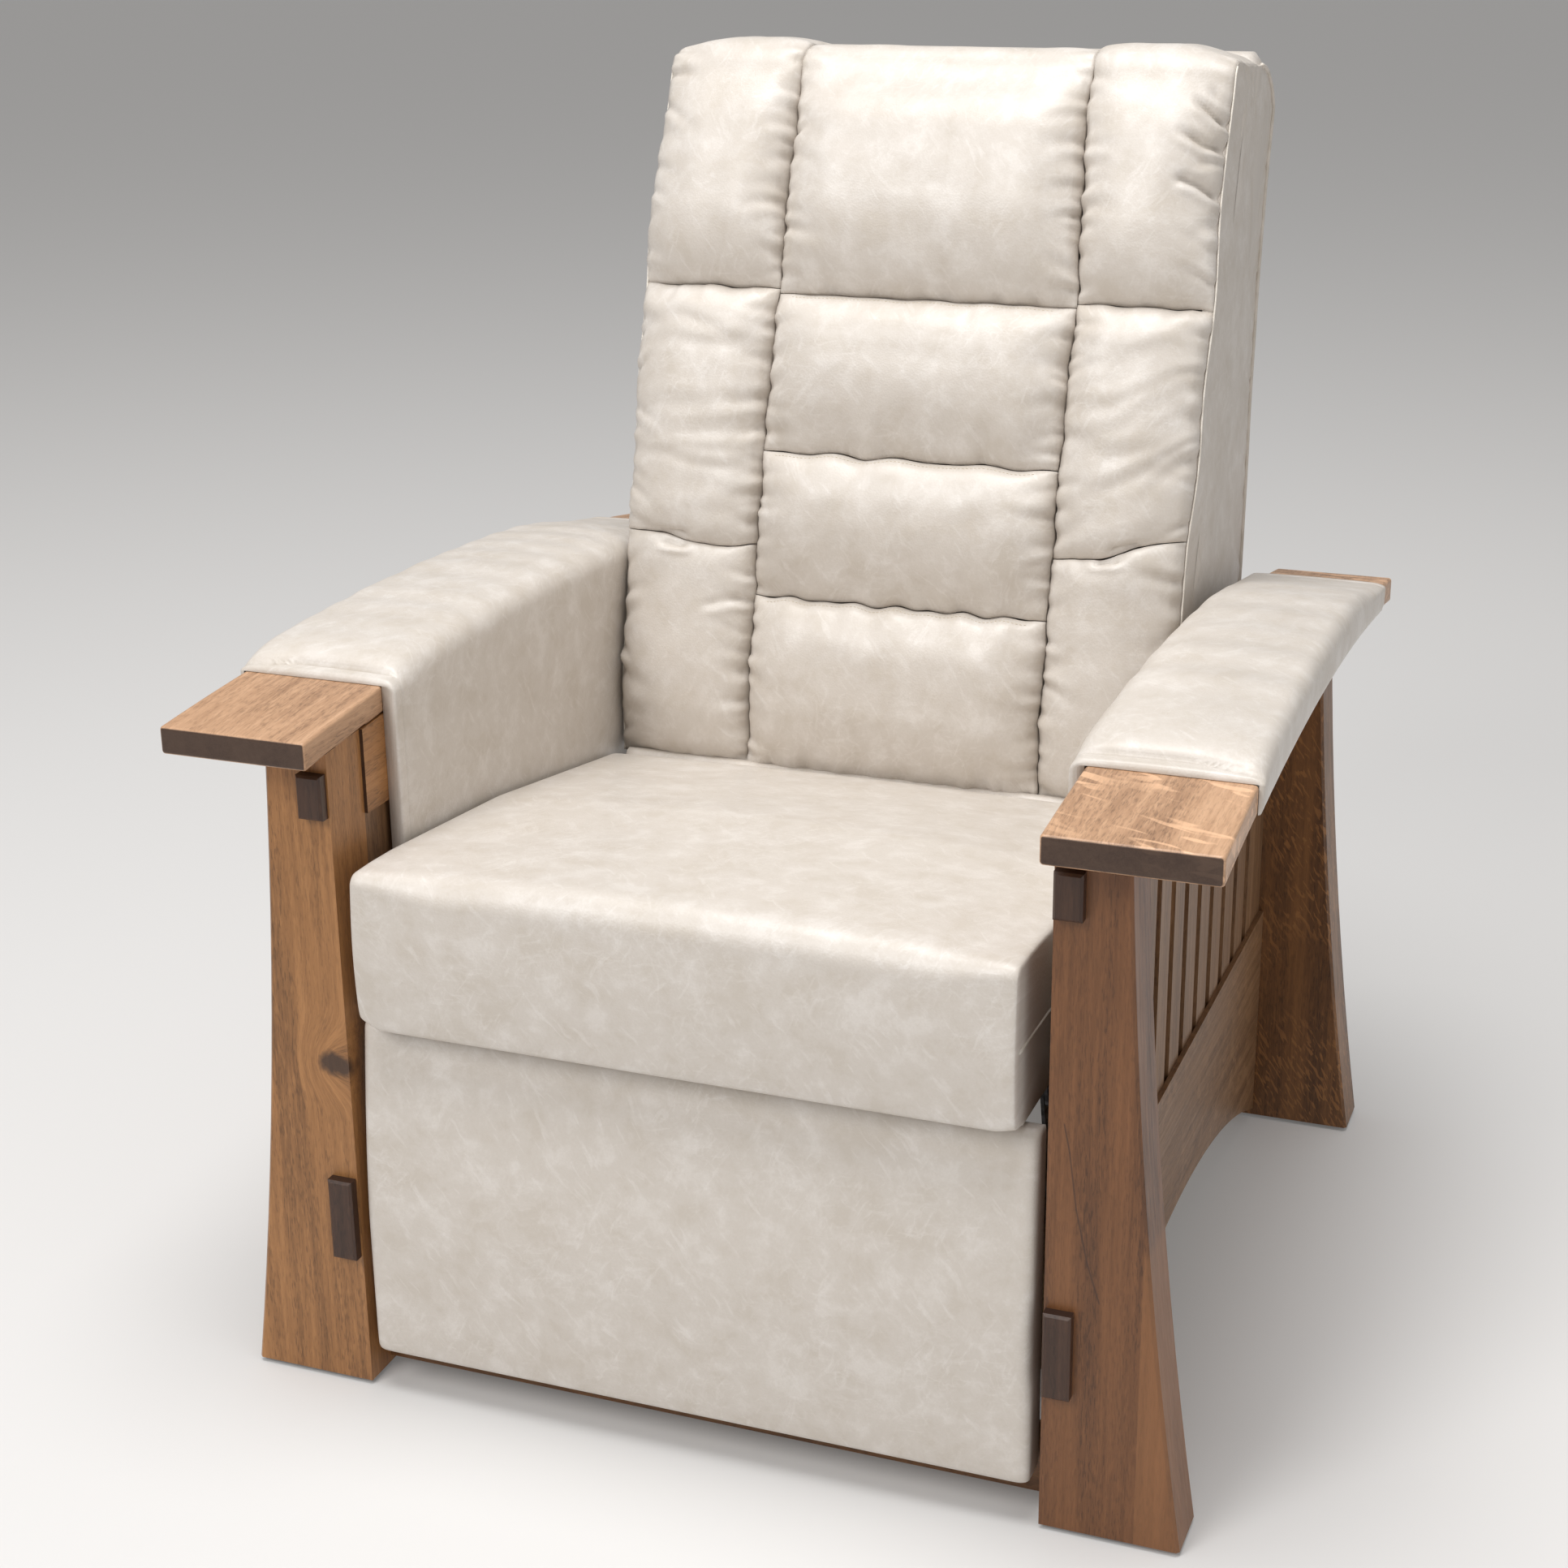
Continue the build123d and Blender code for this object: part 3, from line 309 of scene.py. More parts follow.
def webbing_material(pitch=0.0022):
    """Plain woven cloth with a thread pitch in metres."""
    one, other = srgb(112, 92, 62), srgb(160, 138, 100)
    s = Shader("webbing")
    across, along = (s.wave(s.coords, pi / pitch / 5, 0.3, 2.0, way) for way in "XY")
    over = s.times(across, along)
    colour = s.mix(s.grey(over, 0.1, 0.6), one, other)
    colour = s.mix(s.grey(s.noise(s.coords, 500.0, 3.0), 0.4, 0.7, 0.0, 0.3), colour, other)
    return s.dressed(colour, 0.9, s.bump(over, 0.4, 0.0008), Sheen_Weight=0.2)


def plain_material(name, one, other, scale, rough):
    s = Shader(name)
    mottle = s.noise(s.coords, scale, 4.0)
    colour = s.ramp(mottle, ((0.3, srgb(*one)), (0.7, srgb(*other))))
    return s.dressed(colour, s.grey(mottle, 0.3, 0.7, rough, rough * 0.8), s.bump(mottle, 0.15, 0.0005))


leather = leather_material()
cord_leather = plain_material("cord_leather", (222, 214, 202), (236, 230, 221), 700.0, 0.6)
welt_leather = plain_material("welt_leather", (194, 186, 174), (208, 200, 190), 60.0, 0.5)
thread = plain_material("thread", (198, 186, 164), (216, 206, 188), 900.0, 0.7)
nylon = plain_material("nylon", (30, 28, 27), (48, 46, 44), 300.0, 0.5)
foam = plain_material("foam", (214, 200, 150), (228, 216, 172), 400.0, 0.95)
webbing = webbing_material()

# Light, middle and dark tones of the stain
OAK = ((192, 150, 110), (164, 122, 86), (120, 84, 58))
TOP = ((206, 166, 132), (180, 141, 109), (140, 105, 78))
WARM = ((182, 130, 80), (154, 107, 63), (114, 77, 44))
RED = ((134, 88, 52), (112, 72, 41), (84, 52, 30))
DARK = ((142, 98, 56), (114, 76, 42), (82, 53, 29))
GREY = ((156, 120, 88), (132, 98, 68), (100, 72, 50))
END = ((80, 53, 36), (64, 40, 26), (46, 29, 19))
KNOT = (-306, 5, 300, 13)
CRACK = ((305.5, 5, 353), (310.2, 5, 330), (316.3, 5, 284), (326.2, 5, 239), (335.7, 5, 209))
STRIP = (368, 250, (150, 102, 62))

# Each oak node with its grain's axis, its tones and any fleck, knot, crack and strip. Its number is its seed
WOODS = (
    ("front_leg_left", "Z", WARM, None, KNOT),
    ("front_leg_right", "Z", RED, None, None, CRACK, STRIP),
    ("rear_leg_left", "Z", DARK, (0.4, 330.0, (1.0, 1.0, 0.20))),
    ("rear_leg_right", "Z", DARK, (0.6, 330.0, (1.0, 1.0, 0.20))),
    ("arm_left", "Y", TOP),
    ("arm_right", "Y", TOP, (0.6, 92.0, (0.2, 1.0, 1.0))),
    ("upper_rail_left", "Y", WARM),
    ("upper_rail_right", "Y", OAK),
    ("lower_rail_left", "Y", GREY),
    ("lower_rail_right", "Y", GREY, (0.2, 70.0, (0.30, 1.0, 1.0))),
    ("slats_left", "Z", GREY),
    ("slats_right", "Z", GREY),
    ("front_stretcher", "X", DARK),
    ("rear_stretcher", "X", DARK),
    ("tenon_caps", "Z", END),
)
by_node = {node: wood(node, seed, *look) for seed, (node, *look) in enumerate(WOODS, 1)}
by_node.update(foot_glides=nylon, seat_straps=webbing, back_slab=foam)
by_slot = {"plywood": plywood_material(), "steel": steel_material(), "nylon": nylon, "webbing": webbing}
slot_of = {part["node"]: part["material_slot"] for part in frame["record"]["subparts"]}
for name, node in frame["nodes"].items():
    material = by_node.get(name) or by_slot.get(slot_of[name])
    if material:
        node.data.materials.clear()
        node.data.materials.append(material)
        for face in node.data.polygons:
            face.material_index = 0


# Meshes
def new_object(name, points, faces):
    """An object in the scene with its faces turned outward."""
    mesh = bpy.data.meshes.new(name)
    mesh.from_pydata([tuple(p) for p in points], [], faces)
    mesh.update()
    shape = bmesh.new()
    shape.from_mesh(mesh)
    bmesh.ops.recalc_face_normals(shape, faces=shape.faces)
    shape.to_mesh(mesh)
    shape.free()
    piece = bpy.data.objects.new(name, mesh)
    scene.collection.objects.link(piece)
    return piece


def leather_piece(name, points, faces, body, flow=None, fill=None, material=leather, levels=0):
    """A piece of leather or thread riding on a body. The flow is each point's place on the hide."""
    piece = new_object(name, points, faces)
    piece.data.materials.append(material)
    for face in piece.data.polygons:
        face.use_smooth = True
    if levels:
        finer_skin = piece.modifiers.new("Subdivision", "SUBSURF")
        finer_skin.levels = finer_skin.render_levels = levels
    if flow is not None:
        attribute = piece.data.attributes.new("flow", "FLOAT_VECTOR", "POINT")
        attribute.data.foreach_set("vector", np.asarray(flow, np.float32).ravel())
    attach(piece, body)
    return piece


def grid_faces(rows, columns, wrap=False):
    """Quads over a grid of points that are numbered row by row."""
    pairs = list(zip(range(columns), [*range(1, columns)] + [0] * wrap))
    starts = range(0, (rows - 1) * columns, columns)
    return [(i + j, i + k, i + columns + k, i + columns + j) for i in starts for j, k in pairs]


def swept(loops, caps=True):
    """Points and faces of a skin through a list of closed loops that all have the same number of points."""
    count = len(loops[0])
    points = [p for loop in loops for p in loop]
    faces = grid_faces(len(loops), count, wrap=True)
    if caps:
        faces.append(tuple(reversed(range(count))))
        faces.append(tuple((len(loops) - 1) * count + j for j in range(count)))
    return points, faces


def run_along(path):
    """How far along a path each of its points lies."""
    return np.concatenate([[0], np.cumsum(np.linalg.norm(np.diff(path, axis=0), axis=1))])


def resample(path, spacing):
    """Points at about an even spacing along a polyline, ends kept."""
    path = np.array(path, float)
    run = run_along(path)
    targets = np.linspace(0, run[-1], max(2, int(round(run[-1] / spacing)) + 1))
    return np.stack([np.interp(targets, run, part) for part in path.T], axis=1)


def outward_normals(loop):
    """Unit normals of a closed 2-D loop, pointing out of it."""
    ahead = np.roll(loop, -1, axis=0) - np.roll(loop, 1, axis=0)
    normal = np.stack([ahead[:, 1], -ahead[:, 0]], axis=1)
    normal /= np.maximum(np.linalg.norm(normal, axis=1, keepdims=True), 1e-9)
    return normal if ((loop - loop.mean(axis=0)) * normal).sum() > 0 else -normal


def quarter(count, start=0.0):
    """Cosines and sines over a quarter turn."""
    return [(cos(a), sin(a)) for a in np.linspace(start, pi / 2, count)]


def ease(t):
    """A smooth rise from 0 to 1."""
    t = np.clip(t, 0, 1)
    return t * t * (3 - 2 * t)


def ring_round(spot, one, other, radius, sides):
    """A ring of points round a spot, in the plane of two directions."""
    turns = np.linspace(0, 2 * pi, sides + 1)[:-1]
    return [spot + (one * cos(a) + other * sin(a)) * radius for a in turns]


def tube(name, path, radius, material, body):
    """A thin round cord along a path of row-frame points."""
    path = [Vector(p) for p in path]
    loops = []
    side_way = None
    for i, p in enumerate(path):
        ahead = (path[min(i + 1, len(path) - 1)] - path[max(i - 1, 0)]).normalized()
        side_way = side_way or ahead.orthogonal().normalized()
        side_way = (side_way - ahead * side_way.dot(ahead)).normalized()
        loops.append(ring_round(p, side_way, ahead.cross(side_way), radius, 8))
    leather_piece(name, *swept(loops), body, material=material)


STITCH, STITCH_GAP, STITCH_RADIUS = 2.6, 1.2, 0.36


def stitches(name, path, normals, body):
    """Short raised stitches along a path of row-frame points with the surface's normals."""
    path, normals = (np.array([tuple(p) for p in row]) for row in (path, normals))
    run = run_along(path)
    points, faces = [], []
    start = 0.0
    while start + STITCH * MM < run[-1]:
        span = np.linspace(start, start + STITCH * MM, 5)
        middle, up = (np.stack([np.interp(span, run, part) for part in row.T], axis=1) for row in (path, normals))
        up /= np.linalg.norm(up, axis=1, keepdims=True)
        ahead = middle[-1] - middle[0]
        ahead /= np.linalg.norm(ahead)
        rings = []
        for spot, out, share in zip(middle, up, (0.35, 0.9, 1.0, 0.9, 0.35)):
            spot = spot + out * STITCH_RADIUS * MM * (0.9 * share - 0.35)
            rings.append(ring_round(spot, np.cross(out, ahead), out, STITCH_RADIUS * MM * share, 6))
        skin, quads = swept(rings)
        faces += [tuple(len(points) + k for k in face) for face in quads]
        points += skin
        start += (STITCH + STITCH_GAP) * MM
    leather_piece(name, points, faces, body, material=thread)


# Cloth
STIFFNESS = 15.0
FURTHEST = 0.012  # no point moves more than this, in metres


def simulate(points, faces, pinned, rest, pressure, frames, bending):
    """Runs a cloth whose pinned points stay, towards a looser rest shape, and returns where the points end."""
    start = np.array(points, float)
    cloth_object = new_object("cloth", start, faces)
    group = cloth_object.vertex_groups.new(name="pin")
    group.add([int(i) for i in np.nonzero(pinned)[0]], 1.0, "REPLACE")
    cloth_object.shape_key_add(name="Basis")
    loose = cloth_object.shape_key_add(name="loose")
    loose.data.foreach_set("co", np.array(rest, float).ravel())
    cloth = cloth_object.modifiers.new("Cloth", "CLOTH")
    settings = cloth.settings
    settings.quality, settings.mass = 6, 0.3
    settings.tension_stiffness = settings.compression_stiffness = STIFFNESS
    settings.shear_stiffness, settings.bending_stiffness = STIFFNESS / 3, bending
    settings.vertex_group_mass, settings.pin_stiffness = "pin", 1.0
    settings.rest_shape_key = loose
    settings.use_pressure, settings.uniform_pressure_force = True, pressure
    settings.effector_weights.gravity = 0.0
    cloth.collision_settings.use_collision = False
    cloth.point_cache.frame_start = 1
    cloth.point_cache.frame_end = frames
    for frame_number in range(1, frames + 1):
        scene.frame_set(frame_number)
    ready = cloth_object.evaluated_get(bpy.context.evaluated_depsgraph_get())
    moved = np.empty(len(start) * 3)
    ready.data.vertices.foreach_get("co", moved)
    scene.frame_set(1)
    mesh = cloth_object.data
    bpy.data.objects.remove(cloth_object, do_unlink=True)
    bpy.data.meshes.remove(mesh)
    shift = moved.reshape(-1, 3) - start
    far = np.linalg.norm(shift, axis=1, keepdims=True)
    return start + shift * np.minimum(1.0, FURTHEST / np.maximum(far, 1e-9))


def finer(grid):
    """A grid at twice the density, by a smooth curve through each row and column."""
    for axis in (0, 1):
        grid = np.moveaxis(grid, axis, 0)
        before = np.concatenate([2 * grid[:1] - grid[1:2], grid[:-2]])
        after = np.concatenate([grid[2:], 2 * grid[-1:] - grid[-2:-1]])
        result = np.empty((2 * len(grid) - 1, *grid.shape[1:]))
        result[0::2] = grid
        result[1::2] = (9 * (grid[:-1] + grid[1:]) - before - after) / 16
        grid = np.moveaxis(result, 0, axis)
    return grid


def rim_of(rows, columns):
    """The numbers of a grid's boundary points, in order."""
    bottom = list(range(columns))
    right = [i * columns + columns - 1 for i in range(1, rows)]
    top = [(rows - 1) * columns + j for j in range(columns - 2, -1, -1)]
    left = [i * columns for i in range(rows - 2, 0, -1)]
    return bottom + right + top + left


# Back, in its own lengths: x, up its front plane and out in front of it. "Along" runs up the cover and over the head
LEAN = radians(18.0)
BACK_FOOT = (488.0, 420.0)
SEAM_OUT = (
    ((-20, -16), (0, -12), (90, 8), (170, 14), (230, 22), (280, 25))
    + ((347, 29), (430, 27), (470, 30), (550, 28), (640, 20))
)
CENTRE_HALF = 141.0
RIGHT_EDGE = ((0, 257.5), (174, 258.5), (300, 262), (478, 261), (590, 256), (640, 259), (800, 259))
LEFT_EDGE = (
    ((0, 274), (140, 275), (330, 276), (400, 279), (520, 279.5))
    + ((580, 277.5), (630, 274), (700, 270), (800, 269))
)
HEAD_START = 640.0
HEAD_RADIUS = 28.0
HEAD_TURN = radians(77.0)
HEAD_RUN = 78.0
HEAD_END = HEAD_START + HEAD_RADIUS * HEAD_TURN + HEAD_RUN
SEAM_DEPTH = 8.0  # of the sewn line under the fold that shows
SHOULDER = 3.0  # more fall of an outer seam on top of the head
PAD_ROOT = -28.0
ROOT_HALF = 253.0
STEP = 5.0
GAP = 0.4  # from a pad's rim to its seam
FOOT_ROW = -6.0
CENTRE_ROWS = ((156.0, 1.5), (289.0, 1.8), (434.0, 1.2))  # each with how much it wavers
CENTRE_REACHES = ((70, 50), (76, 46), (82, 46), (92, 34))
SIDE_REACHES = ((60, 26), (26, 40), (72, 34))
SIDE_CROWNS = (19.5, 19.5, 22.0)
SIDE_ROW = 438.0
DARTS = {
    -1: ((-280, 206), (-248, 207.5), (-227, 206.5), (-208, 202), (-178, 199), (-157, 199.5), (-141, 203)),
    1: ((141, 211), (149, 213), (168, 215), (192, 217), (209, 223), (222, 229), (239, 234), (262, 237)),
}
# How full a pad is at its low and high lines
CENTRE_SHARES = ((0, 0.16), (0.16, 0.16), (0.16, 0), (0, 0))
SIDE_SHARES = ((0, 0.66), (0.66, 0), (0, 0))
# Creases: spacing, depth, reach, width and lean
OUTER_CREASES = ((23, 3.4, 50, 5.0, 0.6),)
INNER_CREASES = ((20, 3.4, 40, 4.6, 0.3), (9, 0.9, 11, 2.4, 0.3))
# The drawn creases: pad, depth, width, strength at each end, and the path in x and along
DRAWN = (
    ("left_2", 4.0, 3.4, 1, 0, ((-232, 208), (-213, 207.5), (-199, 207.2))),
    ("left_1", 4.0, 3.4, 0, 1, ((-238, 200.5), (-224, 199), (-208, 198.5))),
    ("left_1", 2.0, 4.5, 0, 1, ((-190, 141), (-170, 147), (-149, 152))),
    ("right_1", 4.0, 3.4, 1, 0, ((188, 215), (202, 216.5), (213, 219.5))),
    ("right_2", 4.0, 3.4, 0, 1, ((192, 223), (205, 226), (221, 230))),
    ("right_3", 6.0, 4.0, 1, 0, ((258, 600), (249, 605.5), (238, 613), (227, 623))),
    ("right_3", 6.5, 4.4, 1, 0, ((258, 578), (244, 578.5), (232, 584), (216, 591))),
    ("right_3", 6.0, 4.2, 1, 0, ((258, 536), (242, 544), (229, 547), (218, 544))),
    ("right_3", 3.0, 4.0, 1, 0, ((258, 615), (247, 624), (238, 634))),
)


def look_up(x, table):
    """Values between the places of a table."""
    return np.interp(x, *zip(*table))


def rounded(x, table, reach, count):
    """The same, with the table's corners rounded."""
    return sum(look_up(np.asarray(x, float) + w, table) for w in np.linspace(-reach, reach, count)) / count


def seam_out(up):
    """How far out the seams lie at a height up the back."""
    return rounded(up, SEAM_OUT, 14, 7)


def back_world(local):
    """Points of the back, given as x, up and out in millimetres, in the row frame."""
    x, up, out = np.moveaxis(np.asarray(local, float), -1, 0)
    depth = BACK_FOOT[0] + up * sin(LEAN) - out * cos(LEAN)
    height = BACK_FOOT[1] + up * cos(LEAN) + out * sin(LEAN)
    return np.stack([x, depth - MID_DEPTH, height], axis=-1) * MM


def back_local(world):
    """The reverse of back_world."""
    x, y, z = np.moveaxis(world, -1, 0) / MM
    run, rise = y + MID_DEPTH - BACK_FOOT[0], z - BACK_FOOT[1]
    up = run * sin(LEAN) + rise * cos(LEAN)
    return np.stack([x, up, -run * cos(LEAN) + rise * sin(LEAN)], axis=-1)


def on_back(x, along, lift):
    """Places on the cover, lifted off its seams."""
    x, along, lift = np.broadcast_arrays(*(np.asarray(a, float) for a in (x, along, lift)))
    low = np.minimum(along, HEAD_START)
    turn = np.clip((along - HEAD_START) / HEAD_RADIUS, 0, HEAD_TURN)
    run = np.maximum(along - HEAD_START - HEAD_RADIUS * HEAD_TURN, 0)
    slope = (seam_out(low + 1) - seam_out(low - 1)) / 2 * np.clip((HEAD_START - along) / 30, 0, 1)
    up = low + HEAD_RADIUS * np.sin(turn) + run * cos(HEAD_TURN)
    out = seam_out(low) - HEAD_RADIUS + HEAD_RADIUS * np.cos(turn) - run * sin(HEAD_TURN)
    angle = turn - np.arctan(slope)
    return np.stack([x, up + lift * np.sin(angle), out + lift * np.cos(angle)], axis=-1)


def puff(distance, reach, power=2.1):
    """A quarter-round rise from 0 at a seam to 1 at a reach from it."""
    t = np.clip(1 - distance / reach, 0, 1)
    return (1 - t**power) ** (1 / power)


def bell(distance, width):
    return np.exp(-((distance / width) ** 2))


def creases(rng, along, away, length, spacing, depth, reach, width, lean):
    """Heights of soft creases that start at a seam. Along runs with the seam and away from it, in millimetres."""
    total = np.zeros_like(along)
    position = rng.uniform(0.3, 1.0) * spacing
    while position < length - 3:
        how_far = reach * rng.uniform(0.4, 1.25)
        strength = depth * rng.uniform(0.3, 1.0)
        tilt, bend = rng.uniform(-lean, lean), rng.uniform(-0.005, 0.005)
        off = along - (position + tilt * away + bend * away * away)
        spread = width * rng.uniform(0.7, 1.3) * (1 + away / 70)
        side = rng.choice((-1.0, 1.0))
        fade = strength * np.clip(1 - away / how_far, 0, 1) ** 1.2
        total += fade * (0.5 * bell(off - side * 1.9 * spread, spread) - bell(off, spread))
        position += spacing * rng.uniform(0.55, 1.5)
    return total


def drawn_crease(pad, path, depth, width, at_start, at_end):
    """Height of one crease along a drawn path with a soft ridge under it. It fades towards an end where told."""
    path = np.array(path, float)
    best, run, above = np.full(pad.x.shape, 1e9), 0.0, 0.0
    for i, (a, b) in enumerate(zip(path, path[1:])):
        x, y, step = pad.x - a[0], pad.along - a[1], b - a
        t = np.clip((x * step[0] + y * step[1]) / (step @ step), 0, 1)
        gap = np.hypot(x - t * step[0], y - t * step[1])
        near = gap < best
        best, run = np.where(near, gap, best), np.where(near, (i + t) / (len(path) - 1), run)
        above = np.where(near, y - t * step[1], above)
    for end, share in ((at_start, run), (at_end, 1 - run)):
        depth = depth * (end + (1 - end) * ease(share / 0.45))
    ridge = bell(above + 2.0 * width, width) * np.exp(-((best / (3.2 * width)) ** 4))
    return depth * (0.5 * ridge - bell(best, width))


def folds(rng, across, along, high, width, number=8, low=15, size=7.0, tilt=0.25):
    """Long shallow folds that cross a pad between low and high along it, each partly across its width."""
    total = np.zeros_like(along)
    for _ in range(number):
        start, middle = rng.uniform(low, high), rng.uniform(0.15, 0.85) * width
        reach, lean = rng.uniform(0.3, 0.7) * width, rng.uniform(-tilt, tilt)
        spread = size * rng.uniform(0.7, 1.3)
        off = along - (start + lean * (across - middle) + 0.8 * np.sin(across / 26 + start))
        fade = bell(across - middle, reach)
        total -= rng.uniform(0.5, 1.0) * fade * bell(off, spread)
        total += 0.7 * fade * bell(off - 2.0 * spread, spread)
    return total


def wander(rng, x, y, amount, size, terms=7):
    """A gentle random relief, smooth over lengths of about the given size."""
    total = np.zeros_like(x)
    for _ in range(terms):
        angle = rng.uniform(0, pi)
        wave = 2 * pi / (size * rng.uniform(0.6, 1.7))
        total += np.sin((x * cos(angle) + y * sin(angle)) * wave + rng.uniform(0, TURN))
    return total * amount / terms


def seam_line(rng, amount):
    """A function that wavers along a seam."""
    terms = [(rng.uniform(30, 75), rng.uniform(0, TURN), rng.uniform(0.4, 1.0)) for _ in range(4)]
    return lambda t: amount * sum(a * np.sin(t / w * TURN + p) for w, p, a in terms) / 2


def inner_seam(along, side):
    """Where a vertical seam lies across the back. The right one draws in towards the head."""
    along = np.asarray(along, float)
    waver = 0.8 * np.sin(along / 17.0 + side) + 0.6 * np.sin(along / 7.3 + 2 * side)
    return side * CENTRE_HALF + waver - (9.0 * ease((along - 430) / 200) if side > 0 else 0.0)


def outer_seam(along, side):
    """Where a side column ends and the side panel starts. The left column is fuller than the right one."""
    waver = 0.8 * np.sin(np.asarray(along, float) / 23.0 + side)
    return side * (rounded(along, RIGHT_EDGE if side > 0 else LEFT_EDGE, 20, 9) + waver)


class Pad:
    """One pad of the back between two lines across it and two seams up it, as a grid of places on the cover.

    Low, high, left and right are the distances from the pad's four sides.
    """

    GRIDS = ("x", "along", "low", "high", "left", "right")

    def __init__(self, name, low, high, left, right, reaches, crown, falls):
        self.name, self.crown, self.falls, self.reaches = name, crown, falls, reaches
        self.centre, self.number = "centre" in name, int(name[-1])
        middle = (low(0.0) + high(0.0)) / 2
        wide = float(right(middle) - left(middle))
        self.columns = int(wide / STEP) + 1
        self.rows = int((high(0.0) - low(0.0)) / STEP) + 1
        v, u = np.meshgrid(np.linspace(0, 1, self.rows), np.linspace(0, 1, self.columns), indexing="ij")
        x = left(middle) + u * wide
        for _ in range(3):
            along = low(x) + v * (high(x) - low(x))
            x = left(along) + GAP + u * (right(along) - left(along) - 2 * GAP)
        along = low(x) + GAP + v * (high(x) - low(x) - 2 * GAP)
        self.x, self.along = x, along
        self.low, self.high = along - low(x), high(x) - along
        self.left, self.right = x - left(along), right(along) - x

    def rng(self, seed=0):
        return np.random.default_rng(seed + sum(map(ord, self.name)))

    def refine(self):
        """Doubles the density of the grid."""
        for key in self.GRIDS:
            setattr(self, key, finer(getattr(self, key)))
        self.rows, self.columns = self.x.shape

    def lift(self):
        """How far the padding stands off the seams."""
        low, high, left, right = self.reaches
        at_low, at_high = (CENTRE_SHARES if self.centre else SIDE_SHARES)[self.number - 1]
        rise = puff(self.left, left) * puff(self.right, right)
        rise = rise * (at_low + (1 - at_low) * puff(self.low, low, 1.6))
        rise = rise * (at_high + (1 - at_high) * puff(self.high, high))
        head = ease((self.along - HEAD_START + 60) / 80)
        beyond = ease((self.along - HEAD_START - 30) / 40)
        fall = 0.0
        for amount, away in zip(self.falls, (self.left, self.right)):
            if amount:
                fall = amount * (1 - ease(away / 60)) + SHOULDER * beyond * (1 - ease(away / 14))
        row = np.minimum(self.low, np.where(self.along > 380, 99.0, self.high))
        shallow = 3.5 * (1 - ease(row / 30)) if self.centre and self.number < 4 else 0.0
        sewn = SEAM_DEPTH * (1 - 0.85 * head) - shallow
        return -sewn - fall + (self.crown * (1 - (0.94 if self.centre else 0.72) * head) + sewn) * rise

    def relief(self, rng):
        """Heights of the gathers, folds and drawn creases, held flat at the rim."""
        x, along, low, high, left, right = (getattr(self, key) for key in self.GRIDS)
        length, wide = float(low.max()), float((left + right).mean())
        relief = np.zeros_like(x)
        for away, fall in zip((left, right), self.falls):
            for kind in OUTER_CREASES if fall else INNER_CREASES:
                relief += creases(rng, low, np.maximum(away, 0), length, *kind)
        if self.centre:
            rows = ((low, 32, 3.2, 50, 6.5, 0.35), (high, 34, 1.8, 30, 8.0, 0.35), (low, 19, 0.8, 14, 4.0, 0.3))
        else:
            rows = ((low, 22, 1.6, 26, 5.0, 0.3), (high, 20, 1.2, 20, 4.5, 0.3))
        for away, *kind in rows:
            relief += creases(rng, left, away, wide, *kind)
        if not self.centre and self.number == 2:
            relief += folds(rng, left, low, length - 40, wide)
        if self.centre and self.number == 1:
            relief += creases(rng, left, low, wide, 13, 2.4, 20, 3.2, 0.2) * ease((left - 70) / 80)
        if self.number == 4:
            relief *= 1 - 0.4 * ease((along - 560) / 60)
            relief -= 6.0 * ease((along - 600) / 60) * np.clip(1 - (x / 136) ** 2, 0, 1)
        relief *= 1 - 0.75 * ease((along - HEAD_START - 15) / 25)
        for owner, depth, width, at_start, at_end, path in DRAWN:
            if self.name.endswith(owner):
                relief += drawn_crease(self, path, depth, width, at_start, at_end)
        if self.centre:
            relief *= 1 - 0.5 * (1 - ease(high / 30))
        return relief * np.minimum(np.minimum(puff(low, 6), puff(high, 6)), np.minimum(puff(left, 3), puff(right, 3)))

    def rings(self):
        """Rings of row-frame points behind the rim: just under it, and at the root of the padding."""
        picks = rim_of(self.rows, self.columns)
        x, along, left, right = (a.ravel()[picks] for a in (self.x, self.along, self.left, self.right))
        sewn = -SEAM_DEPTH - self.falls[0] * (left < 30) - self.falls[1] * (right < 30)
        x = x - np.sign(x - x.mean()) * 0.8
        deep = np.where(along < HEAD_START, -(seam_out(np.minimum(along, HEAD_START)) - PAD_ROOT), -9.0)
        at_head = (along > HEAD_START - 40) & (along < HEAD_START)
        deep = np.where(at_head, np.maximum(deep, -9 - (HEAD_START - along)), deep)
        root = on_back(np.clip(x, -ROOT_HALF, ROOT_HALF), along, np.minimum(deep, sewn - 8.0))
        return [back_world(on_back(x, along, sewn - 4.0)), back_world(root)]


def pad_mesh(grid, rings):
    """Points and faces of a pad: its front grid, walls through the rings behind its rim, and a back of long strips."""
    rows, columns = grid.shape[:2]
    points = [tuple(p) for p in grid.reshape(-1, 3)]
    faces = grid_faces(rows, columns)
    ring = rim_of(rows, columns)
    for back in rings:
        new = list(range(len(points), len(points) + len(ring)))
        points += [tuple(p) for p in back]
        after, new_after = ring[1:] + ring[:1], new[1:] + new[:1]
        faces += zip(after, ring, new, new_after)
        ring = new
    left = [ring[0]] + [ring[-i] for i in range(1, rows)]
    right = ring[columns - 1 : columns - 1 + rows]
    top = ring[columns + rows - 2 : 2 * columns + rows - 2]
    faces.append((*ring[:columns], right[1], left[1]))
    faces += [(left[i], right[i], right[i + 1], left[i + 1]) for i in range(1, rows - 2)]
    faces.append((left[rows - 2], right[rows - 2], *top))
    return points, faces


def level_line(row):
    return lambda x: row + 0 * x


